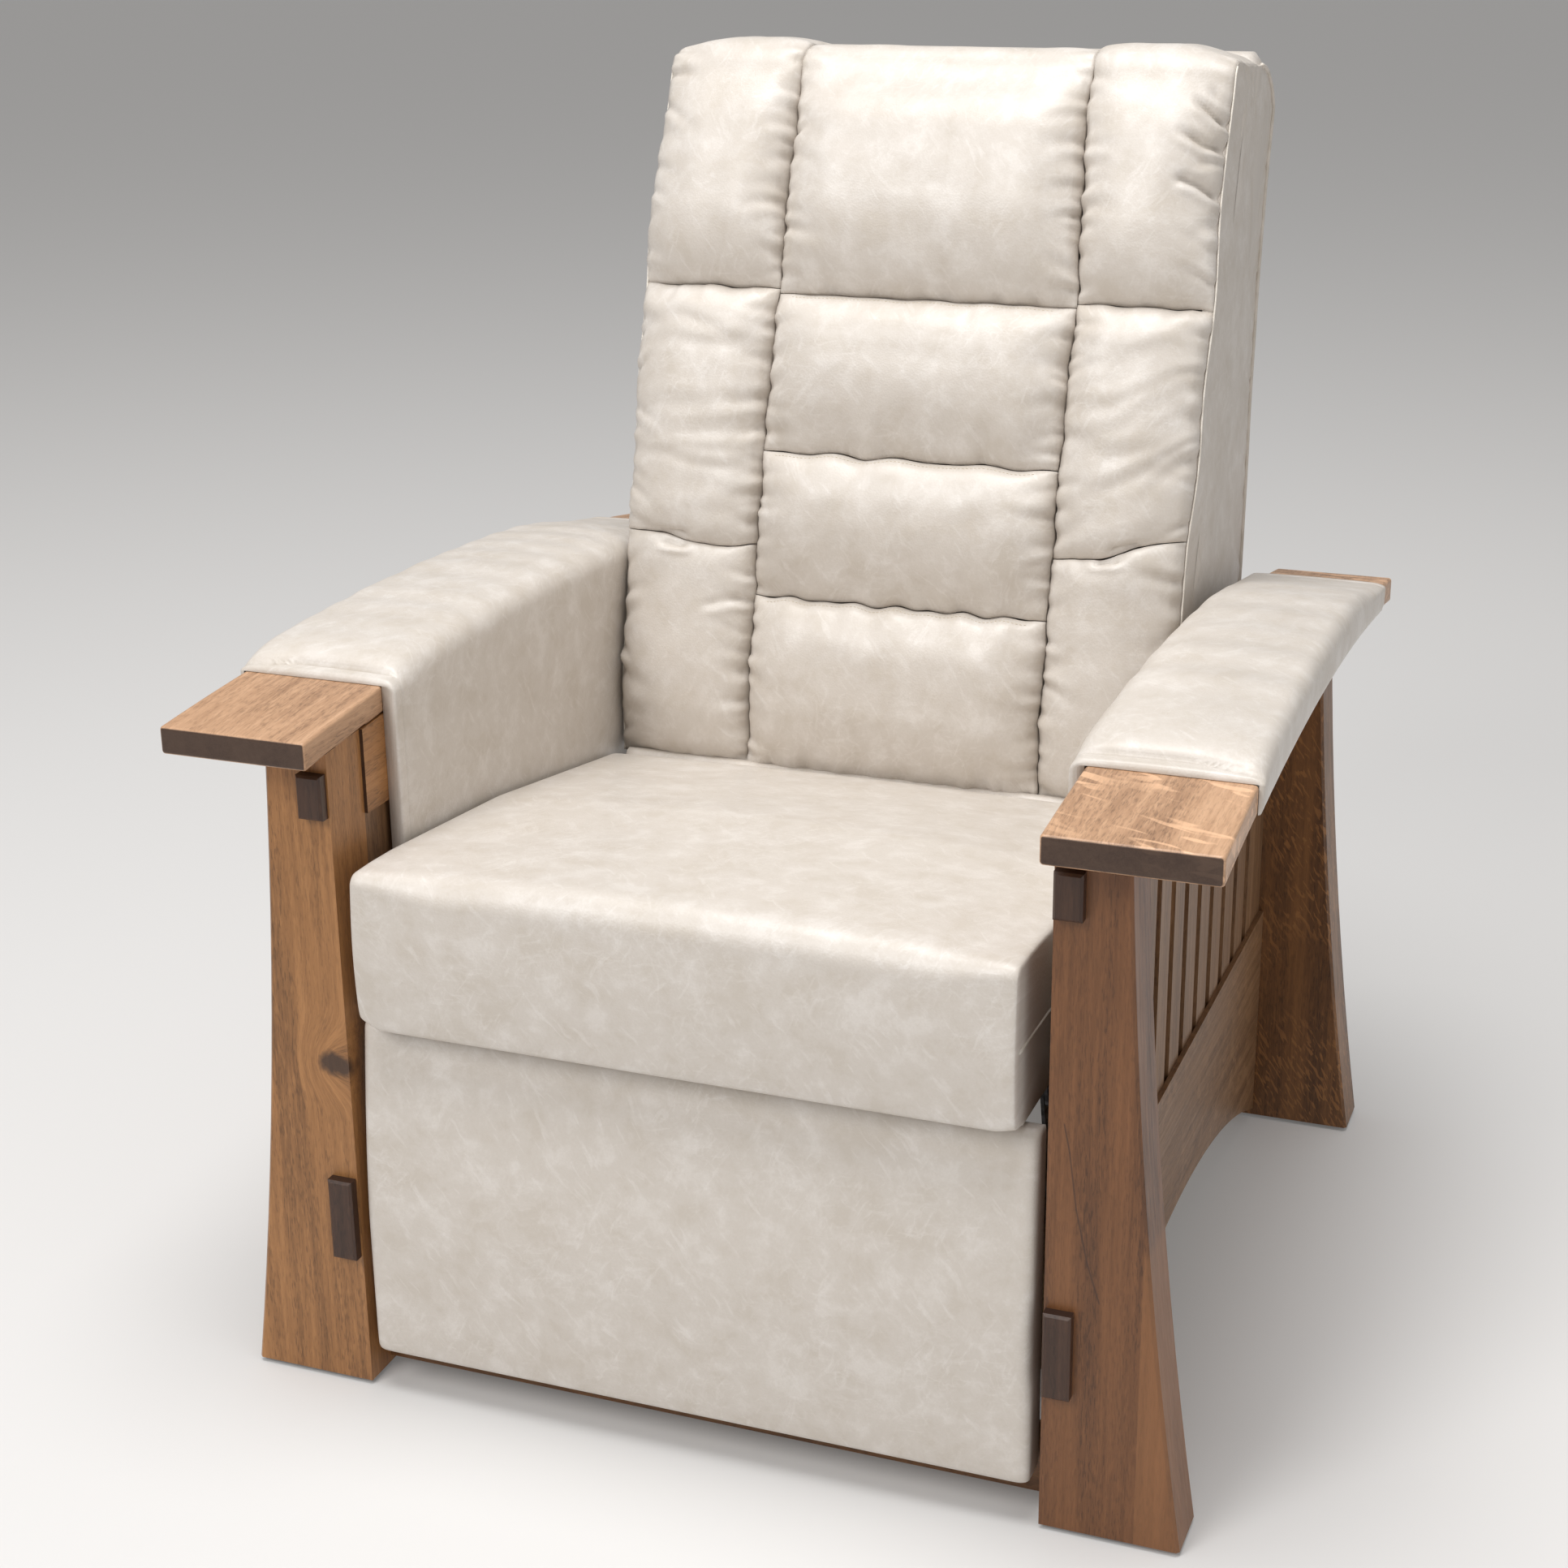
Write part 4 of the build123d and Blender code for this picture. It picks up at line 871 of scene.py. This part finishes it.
def plan_pads():
    """The ten pads of the back's front."""
    rng = np.random.default_rng(3)
    seams = {side: (lambda t, side=side: inner_seam(t, side)) for side in (-1, 1)}
    lines = [level_line(FOOT_ROW)]
    for row, amount in CENTRE_ROWS:
        waver = seam_line(rng, amount)
        lines.append(lambda x, row=row, waver=waver: row + waver(x) * puff(CENTRE_HALF - abs(x) + 2, 60))
    lines.append(level_line(HEAD_END))
    pads = []
    for k, reaches in enumerate(CENTRE_REACHES):
        around = (*lines[k : k + 2], seams[-1], seams[1])
        pads.append(Pad(f"back_pad_centre_{k + 1}", *around, (*reaches, 58, 58), 27.0, (0, 0)))
    for side, name in SIDES:
        lines = [level_line(FOOT_ROW)]
        for dart, amount in ((DARTS[side], 0.4), (((-280, SIDE_ROW), (280, SIDE_ROW)), 1.2)):
            waver = seam_line(rng, amount)
            lines.append(lambda x, dart=dart, waver=waver: rounded(x, dart, 6, 5) + waver(x))
        lines.append(level_line(HEAD_END))
        # Each pair runs from the inner seam to the outer one, so it is reversed on the left
        around = (seams[side], lambda t, side=side: outer_seam(t, side))[::side]
        for k, (reaches, crown) in enumerate(zip(SIDE_REACHES, SIDE_CROWNS)):
            reaches = (*reaches, *(44, 50)[::side])
            pads.append(Pad(f"back_pad_{name}_{k + 1}", *lines[k : k + 2], *around, reaches, crown, (0.0, 7.0)[::side]))
    return pads


def dress_back_pads():
    """The back's pads, swollen together as one cloth and then creased where they are gathered into the seams."""
    pads = plan_pads()
    all_points, all_faces, pins, slack, bases = [], [], [], [], []
    for pad in pads:
        uneven = wander(pad.rng(), pad.x, pad.along, 1.0, 55) * puff(pad.low, 30) * puff(pad.high, 30)
        grid = back_world(on_back(pad.x, pad.along, pad.lift() + uneven))
        points, faces = pad_mesh(grid, pad.rings())
        free = np.zeros(pad.x.shape, bool)
        free[1:-1, 1:-1] = True
        free &= pad.along < HEAD_START + 40
        pinned = np.ones(len(points), bool)
        pinned[: free.size] = ~free.ravel()
        local = back_local(np.array(points))
        centre = local[: free.size].mean(axis=0)[:2]
        local[:, :2] = centre + (local[:, :2] - centre) * (1.03, 1.06)
        base = len(all_points)
        bases.append(base)
        all_points += points
        all_faces += [tuple(base + k for k in face) for face in faces]
        pins.append(pinned)
        slack.append(back_world(local))
    settled = simulate(all_points, all_faces, np.concatenate(pins), np.concatenate(slack), 3.0, 22, 0.05)
    pieces = {}
    for pad, base in zip(pads, bases):
        grid = finer(back_local(settled[base : base + pad.x.size].reshape(*pad.x.shape, 3)))
        pad.refine()
        rng = pad.rng(9)
        relief = pad.relief(rng)
        normal = np.cross(np.gradient(grid, axis=1), np.gradient(grid, axis=0))
        normal /= np.maximum(np.linalg.norm(normal, axis=2, keepdims=True), 1e-9)
        if normal[..., 2].mean() < 0:
            normal = -normal
        points, faces = pad_mesh(back_world(grid + normal * relief[..., None]), pad.rings())
        flow = np.array(points)
        count = pad.x.size
        flow[:count, 0], flow[:count, 1] = pad.x.ravel() * MM, pad.along.ravel() * MM
        flow[:count, 2] = rng.uniform(0, 5)
        piece = pieces[pad.name] = leather_piece(pad.name, points, faces, "back", flow, 0.75)
        if pad.centre and pad.number < 4:
            edge = back_world(on_back(pad.x[-1, 6:-6], pad.along[-1, 6:-6] - 3.2, 8.0))
            line = laid_on(piece, edge, Vector((0, -cos(LEAN), sin(LEAN))))
            stitches(pad.name + "_stitches", *line, "back")
    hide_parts("back_pads_centre")
    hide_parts("back_pads_side_left")
    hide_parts("back_pads_side_right")


def laid_on(piece, path, look):
    """A path laid on a piece from outside, and the piece's normals there."""
    tree = BVHTree.FromObject(piece, bpy.context.evaluated_depsgraph_get())
    to_piece = piece.matrix_world.inverted()
    turn = piece.matrix_world.to_3x3()
    hits = [tree.ray_cast(to_piece @ (Vector(p) + look * 0.03), to_piece.to_3x3() @ -look, 0.08) for p in path]
    hits = [hit for hit in hits if hit[0] is not None]
    return [piece.matrix_world @ hit[0] for hit in hits], [(turn @ hit[1]).normalized() for hit in hits]


# The shell's places are depths and heights
TOP_LINE = ((783, 1036), (797, 1033), (812, 1027), (825, 1018), (835, 1006))
SHELL_TOP = ((716, 1020), (752, 1022), (762, 1032), (770, 1041), (780, 1047))
TOP_MIDDLE = ((796, 1047), (808, 1044), (820, 1036), (831, 1021), (838, 1006))
REAR_LINE = ((840, 995), (839, 975), (835, 950), (827, 869), (820, 775), (813, 677), (800, 581), (790, 510), (784, 444))
SHOULDER_DROP = ((755, 0), (768, 6), (780, 10), (796, 13), (812, 14), (825, 12), (835, 6), (841, 0))
REAR_HALF = ((444, 260), (562, 259), (715, 256.5), (837, 257), (928, 258.5), (993, 260.5), (1060, 259))
FLAP = (
    ((499.5, 417), (494, 416), (489.5, 410), (487.6, 402), (487.2, 384))
    + ((489.6, 384), (490.4, 402), (493, 408), (498, 411), (505, 411))
)
SHELL_HALF, PANEL_ROOT = 262.0, 251.5
PANEL_PARTS = (0, 0.012, 0.028, 0.05, 0.075, 0.105, 0.14, 0.18, 0.23, 0.3, 0.38, 0.48, 0.6, 0.74, 0.88, 0.999)


def rear_half(height):
    """Half the back's width along its rear, which draws in between the top and the foot."""
    return look_up(height, REAR_HALF)


def depth_height(local):
    """Depths and heights of points of the back."""
    return back_world(local)[..., 1:] / MM + (MID_DEPTH, 0)


def dress_back_shell():
    """The leather over the back's top and rear."""
    ends = [tuple(depth_height((0, up, PAD_ROOT))) for up in (0, 632)]
    outline = [*ends, *SHELL_TOP, *TOP_MIDDLE, *REAR_LINE]
    loop = resample(outline + outline[:1], 8.0)[:-1]
    normal = outward_normals(loop)
    run = run_along(loop)
    rim = [(-SHELL_HALF, 9.0), (-260.5, 4.0), (-257.0, 1.2), (-252.0, 0.0)]
    stations = rim + [(x, 0.0) for x in np.linspace(-240, 240, 49)] + [(-x, inset) for x, inset in reversed(rim)]
    loops, flow = [], []
    for x, inset in stations:
        belly = 3.0 * (1 - (x / SHELL_HALF) ** 2) + wander(np.random.default_rng(5), run, run * 0 + x, 0.8, 140)
        rear = np.clip((loop[:, 0] - 760) / 30, 0, 1) * np.clip((1000 - loop[:, 1]) / 60, 0, 1)
        ring = loop - normal * inset + normal * (belly * rear)[:, None]
        shoulder = float(ease((abs(x) - 253) / 9))
        ring[:, 1] -= np.where(ring[:, 1] > 980, shoulder * look_up(ring[:, 0], SHOULDER_DROP), 0)
        loops.append([place(x * rear_half(z) / SHELL_HALF, d, z) for d, z in ring])
        flow += [(x * MM, s * MM, 9.0) for s in run]
    shell = leather_piece("back_shell_leather", *swept(loops), "back", flow)
    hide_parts("back_shell")


def dress_back_flap():
    """The flap of leather that hangs behind the seat."""
    loops = []
    for x in np.linspace(-261, 261, 60):
        wave = 0.5 * sin(x / 13.0) + 0.4 * sin(x / 5.7)
        loops.append([place(x, d + wave * (1 if z > 403 else 0.3), z) for d, z in FLAP])
    points, faces = swept(loops)
    leather_piece("back_flap", points, faces, "back", points)


def dress_side_panel(side, name):
    """The leather on one side of the back, the cord along its front and the welt round its rear."""
    alongs = np.linspace(FOOT_ROW, HEAD_END, 150)
    beyond = ease((alongs - HEAD_START - 30) / 40)
    sewn = SEAM_DEPTH * (1 - 0.85 * ease((alongs - HEAD_START + 60) / 80)) + 7.0 + SHOULDER * beyond
    seam = on_back(outer_seam(alongs, side), alongs, -sewn)
    front = np.c_[depth_height(seam), abs(seam[:, 0])]
    rear = resample([*TOP_LINE, *REAR_LINE], 5.0)
    rear = np.c_[rear, rear_half(rear[:, 1])]
    rim = np.concatenate([front, rear, np.linspace(rear[-1], front[0], 42)[1:-1]])
    share = np.clip((rim[:, 1] - 440) / 560, 0, 1)
    heart = np.stack([645 + 105 * share, 500 + 490 * share], axis=1)
    reach = np.linalg.norm(rim[:, :2] - heart, axis=1)
    rising = front[: int(np.argmax(front[:, 1]))].T
    run = run_along(rim[:, :2])
    rings = [np.c_[np.full(len(rim), side * PANEL_ROOT), rim[:, 0] - MID_DEPTH, rim[:, 1]] * MM]
    flow = [np.c_[rim[:, :2] * MM, np.full(len(rim), 12.0 + side)]]
    for part in PANEL_PARTS:
        inset = part * reach
        spot = rim[:, :2] * (1 - part) + heart * part
        crease = creases(np.random.default_rng(44 + side), run, inset, run[-1], 26, 1.5, 50, 5.0, 0.5)
        soft = wander(np.random.default_rng(45), spot[:, 0], spot[:, 1], 0.9, 90)
        ahead, half = (np.interp(spot[:, 1], rising[1], rising[k]) for k in (0, 2))
        to_rear = np.clip((spot[:, 0] - ahead) / (825 - ahead), 0, 1)
        lean_in = half + (rear_half(spot[:, 1]) - half) * to_rear + 1.8 * np.sin(np.pi * to_rear)
        x = rim[:, 2] + (lean_in - rim[:, 2]) * puff(inset, 20)
        x = x + (crease * ease((1 - part) * 3) + soft) * puff(inset, 14)
        rings.append(np.c_[side * x, spot[:, 0] - MID_DEPTH, spot[:, 1]] * MM)
        flow.append(np.c_[spot * MM, np.full(len(spot), 12.0 + side)])
    points, faces = swept(rings, caps=False)
    faces.append(tuple(reversed(range(len(rim)))))
    leather_piece(f"back_side_panel_{name}", points, faces, "back", np.concatenate(flow), 0.5)
    edge = seam[alongs < HEAD_START + 20] + (0.5 if side > 0 else 0.6, 0, 0.5)
    tube(f"back_side_cord_{name}", back_world(edge), 0.85 * MM, cord_leather, "back")
    tube(f"back_welt_{name}", [place(side * (x + 0.4), d, z) for d, z, x in rear], 2.0 * MM, welt_leather, "back")


# Seat
SEAT_HALF = 273.0
SEAT_TOPS = ((-10, 478), (60, 474), (243, 455), (496, 413))
SEAT_CROWNS = ((-10, 7), (243, 12), (496, 4))
SEAT_FOOT = 342.0
SEAT_FRAME_HALF, SEAT_FRAME_TOP, SEAT_FRAME_FRONT = 253.3, 397.5, 11.7
FOOTREST_BOARD_HALF, FOOTREST_BOARD_FACE = 275.7, 21.8
SEAT_RIM = ((0, 3.6), (0.6, 1.8), (2.4, 0.5), (5.5, 0.0))  # from a side, and how far the loop shrinks there
FOOTREST_RIM = ((0, 9.0), (0.9, 5.2), (3.2, 2.2), (6.5, 0.5))


def stations_of(half, rim, middle):
    """Places across a piece and the insets there: its rim's on both sides and none between."""
    left = [(x - half, inset) for x, inset in rim]
    return left + [(x, 0.0) for x in middle] + [(-x, inset) for x, inset in reversed(left)]


def seat_top(x, depth):
    """Height of the cushion's top."""
    base, crown = (look_up(depth, table) for table in (SEAT_TOPS, SEAT_CROWNS))
    return base + crown * (1 - (np.asarray(x) / SEAT_HALF) ** 2)


def loop_flow(loops, number, axis=0):
    """The places on the hide of a swept piece: across its stations and along its loops."""
    return [(p[axis], run, number) for loop in loops for p, run in zip(loop, run_along(np.array(loop)))]


def dress_seat():
    """The seat cushion with its rolled front edge, bellied front face and boxed sides."""
    loops, free = [], []
    for x, inset in stations_of(SEAT_HALF, SEAT_RIM, np.linspace(-SEAT_HALF + 10, SEAT_HALF - 10, 90)):
        tuck = (9 if x < 0 else 4) * max(0.0, (abs(x) - SEAT_HALF + 16) / 16)
        bottom = SEAT_FOOT + tuck
        radius = 11.0 + 14.0 * float(ease((SEAT_HALF - abs(x)) / 80))
        front_top = float(seat_top(x, 18))
        rise = front_top - radius - bottom - 6
        steps = np.linspace(0, 1, 17)[1:-1]
        face = [(-8 + inset, bottom), (-9.5 + inset, bottom + 6)]
        face += [(-10 + inset - 3.0 * sin(pi * t), bottom + 6 + t * rise) for t in steps]
        roll = radius - inset
        nose = [(-10 + radius - roll * c, front_top - radius + roll * s) for c, s in quarter(11)]
        top = [(d, float(seat_top(x, d)) - inset) for d in np.linspace(24, 482, 86)]
        rear = [(491 - inset, float(seat_top(x, 490)) - 2 - inset), (495 - inset, 406), (494 - inset, 398)]
        lower, upper, low = (SEAT_FRAME_TOP, 390, 345) if abs(x) < SEAT_FRAME_HALF else [SEAT_FOOT] * 3
        under = [(d, lower) for d in np.linspace(486, 14, 24)]
        step = [(SEAT_FRAME_FRONT, upper), (SEAT_FRAME_FRONT, low), (8, SEAT_FOOT + tuck * 0.6)]
        loop = face + nose + top + rear + under + step
        loops.append([place(x, d, z) for d, z in loop])
        free.append([3 < j < len(face + nose + top) - 2 for j in range(len(loop))])
    points, faces = swept(loops)
    points = np.array([tuple(p) for p in points])
    free[:4] = free[-4:] = [[False] * len(free[0])] * 4
    pinned = ~np.array(free).ravel()
    x, y, z = points.T / MM
    slack = points * (1.018, 1.012, 1)
    points[:, 2] += np.where(pinned, 0, wander(np.random.default_rng(11), x, y + z, 1.4, 110)) * MM
    settled = simulate(points, faces, pinned, slack, 2.0, 20, 0.15)
    seat = leather_piece("seat_leather", settled, faces, "seat", loop_flow(loops, 20), 0.8, levels=1)
    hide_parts("seat_cushion", "seat_border")
    for side, name in SIDES:
        path = [place(side * (SEAT_HALF - 0.4), d, 408 - 0.02 * d) for d in np.linspace(-3, 488, 60)]
        tube(f"seat_welt_{name}", path, 1.5 * MM, welt_leather, "seat")


def dress_footrest():
    """The footrest's padded face, rolled over its edges."""
    half, bottom, top, thick, edge = 285.5, 36.5, 337.5, 33.5, 9.0
    loops = []
    for x, inset in stations_of(half, FOOTREST_RIM, np.linspace(-half + 11, half - 11, 70)):
        belly = 8.0 * (1 - (x / half) ** 4)
        path = [(edge - edge * c + inset, bottom + edge - edge * s) for c, s in reversed(quarter(7))]
        for t in np.linspace(0, 1, 40)[1:-1]:
            lean = 14.0 * max(0.0, (t - 0.4) / 0.6) ** 1.5
            out = inset - 0.4 - belly * sin(pi * t**0.8) + lean
            path.append((out, bottom + edge + t * (top - bottom - 2 * edge)))
        path += [(13.6 + 8.0 * (1 - c) + inset, top - edge + edge * s) for c, s in quarter(7)]
        path = [(d, np.clip(z, bottom + inset * 0.4, top - inset * 0.4)) for d, z in path]
        deep = FOOTREST_BOARD_FACE if abs(x) < FOOTREST_BOARD_HALF else thick
        path += [(thick, top - 0.5), (thick, top - 9.8), (deep, top - 10.2)]
        path += [(deep, z) for z in np.linspace(top - 20, bottom + 20, 12)]
        path += [(deep, bottom + 10.2), (thick, bottom + 9.8), (thick, bottom + 0.5)]
        loops.append([place(x, d, z) for d, z in path])
    rest = leather_piece("footrest_leather", *swept(loops), "footrest", loop_flow(loops, 30), 0.9, levels=1)
    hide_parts("footrest_pad")


# Arms
ARM_TOP, ARM_BOW, ARM_CREST = 604.0, 3220.0, 280.0
ARM_INNER, ARM_WIDE, ARM_NARROW = 291.0, 130.0, 111.0
ARM_LONG, ARM_AHEAD = 848.0, 29.0
PAD_FRONT, PAD_REAR = 95.0, 742.0
DROP_FOOT = 350.0  # of the arm pad's drop inside the arm
FRONT_STATIONS = (-2.5, -2.2, -1.2, 0.4, 2.5, 5, 7.5, 9.5, 10.8, 12, 13.2, 14.5, 17, 20, 24, 29, 35, 42, 49)
REAR_STATIONS = (42, 30, 20, 15, 13.8, 12.6, 11.4, 9, 5.5, 3, 1, 0)  # from the rear end


def arm_top(depth):
    """Height of the bowed arm's top."""
    return ARM_TOP - ARM_BOW + sqrt(ARM_BOW**2 - (depth - ARM_CREST) ** 2)


def arm_outer(depth):
    """The arm's outer edge, which tapers to the rear."""
    return ARM_INNER + ARM_WIDE - (ARM_WIDE - ARM_NARROW) / ARM_LONG * (depth + ARM_AHEAD)


def pad_rise(run, left, x, outer):
    """Height of an arm pad over the arm at a run from its front and a rest to its rear.

    At each end lie a rolled hem and a sewn line, and the padding swells from there.
    """
    hem = 12.0 * (1 - 0.7 * ease((x - outer + 48) / 40))
    front = 6.2 * puff(max(0.0, run + 2.5), 4.0) - 1.8 * bell(run - hem, 1.4) + 13.5 * puff(max(0.0, run - hem), 46.0)
    rear = 4.5 * puff(left, 4.0) + 15.5 * ease((left - 12.5) / 190) - 1.3 * bell(left - 12.6, 1.2)
    return max(min(float(front), float(rear)), 0.8)


def dress_arm_pad(side, name):
    """A leather pad that wraps over the arm's edge and drops down inside it, with a stitched hem at each end."""
    rng = np.random.default_rng(60 + side)
    length = PAD_REAR - PAD_FRONT
    waves = [(rng.uniform(40, 110), rng.uniform(0, TURN), rng.uniform(0.1, 0.45)) for _ in range(6)]
    loops = []
    for run in (*FRONT_STATIONS, *np.linspace(56, length - 56, 96), *(length - left for left in REAR_STATIONS)):
        depth, left = PAD_FRONT + run, length - run
        top, outer = arm_top(depth), arm_outer(depth)
        bumps = sum(a * sin(run / w * TURN + p) for w, p, a in waves) * min(1, max(0, min(run, left)) / 160)
        rise, edge_rise = (pad_rise(run, left, x, outer) + bumps for x in (300.0, outer - 6.0))
        lip = min(edge_rise, 5.0) * 0.9
        stitch = float(bell(run - 9.0, 1.2) + bell(left - 9.0, 1.2))
        inner = 280.3 - 2.0 * float(puff(run + 2.5, 3.0)) - 0.8 * float(ease((run - 9.0) / 18)) + 0.9 * stitch
        back = 290.4 if run < 0 else 283.9
        ring = [(inner, z) for z in np.linspace(DROP_FOOT, top - 14, 14)]
        corner = min(rise + 6.0, 21.0)
        ring += [(inner + corner - corner * c, top + rise * 0.80 - corner + corner * s) for c, s in quarter(9, 0.1)]
        for x in np.linspace(inner + 26, outer - 17, 22):
            arch = 0.80 + 0.20 * sin(pi * (x - inner) / (outer - inner))
            ring.append((x, top + (pad_rise(run, left, x, outer) + bumps) * arch))
        fall = min(edge_rise, 14.0)
        ring += [(outer + lip - 14 + 14 * s, top + edge_rise * 0.84 - fall + fall * c) for c, s in quarter(9, 0.15)]
        ring += [(outer + lip, top - 8), (outer + lip * 0.9, top - 16), (outer + lip * 0.5, top - 22.5)]
        ring += [(outer + 0.3, top + z) for z in (-23, -12, 0.3)]
        ring += [(x, top + 0.3) for x in np.linspace(outer - 12, 292, 12)]
        ring += [(back + 0.1, top + 0.2)] + [(back, z) for z in np.linspace(top - 20, DROP_FOOT, 8)]
        loops.append([place(side * x, depth, z) for x, z in ring])
    flow = loop_flow(loops, 60 + side, axis=1)
    pad = leather_piece(f"arm_pad_leather_{name}", *swept(loops), "frame", flow, 0.7)
    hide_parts(f"arm_pad_{name}")


dress_back_pads()
dress_back_shell()
for side, name in SIDES:
    dress_side_panel(side, name)
dress_back_flap()
dress_seat()
dress_footrest()
for side, name in SIDES:
    dress_arm_pad(side, name)

# Studio lights: name, place, aim, size, power and colour
LIGHTS = (
    ("top", (-0.1, -0.6, 5.0), (0.0, 0.0, 0.4), 3.0, 188, (1.0, 1.0, 1.0)),
    ("key", (-1.2, -3.2, 3.2), (0.0, 0.0, 0.45), 1.8, 70, (1.0, 0.995, 0.99)),
    ("fill", (2.8, -1.2, 1.6), (0.0, 0.0, 0.5), 2.4, 10, (0.99, 0.99, 1.0)),
)


def make_stage():
    floor = new_object("floor", [(-40, -30, 0), (40, -30, 0), (40, 60, 0), (-40, 60, 0)], [(0, 1, 2, 3)])
    material = bpy.data.materials.new("floor")
    material.use_nodes = True
    surface = material.node_tree.nodes["Principled BSDF"]
    surface.inputs["Base Color"].default_value = (0.63, 0.62, 0.61, 1)
    surface.inputs["Roughness"].default_value = 0.85
    surface.inputs["Emission Color"].default_value = (1.0, 0.985, 0.97, 1)
    surface.inputs["Emission Strength"].default_value = 0.10
    floor.data.materials.append(material)
    for name, spot, aim, size, power, tint in LIGHTS:
        data = bpy.data.lights.new(name, "AREA")
        data.shape = "DISK"
        data.size, data.energy, data.color = size, power, tint
        light = bpy.data.objects.new(name, data)
        scene.collection.objects.link(light)
        light.location = spot
        light.rotation_euler = (Vector(aim) - Vector(spot)).to_track_quat("-Z", "Y").to_euler()
    world = bpy.data.worlds.new("studio")
    world.use_nodes = True
    world.node_tree.nodes["Background"].inputs[0].default_value = (0.95, 0.94, 0.93, 1)
    world.node_tree.nodes["Background"].inputs[1].default_value = 0.34
    scene.world = world


make_stage()
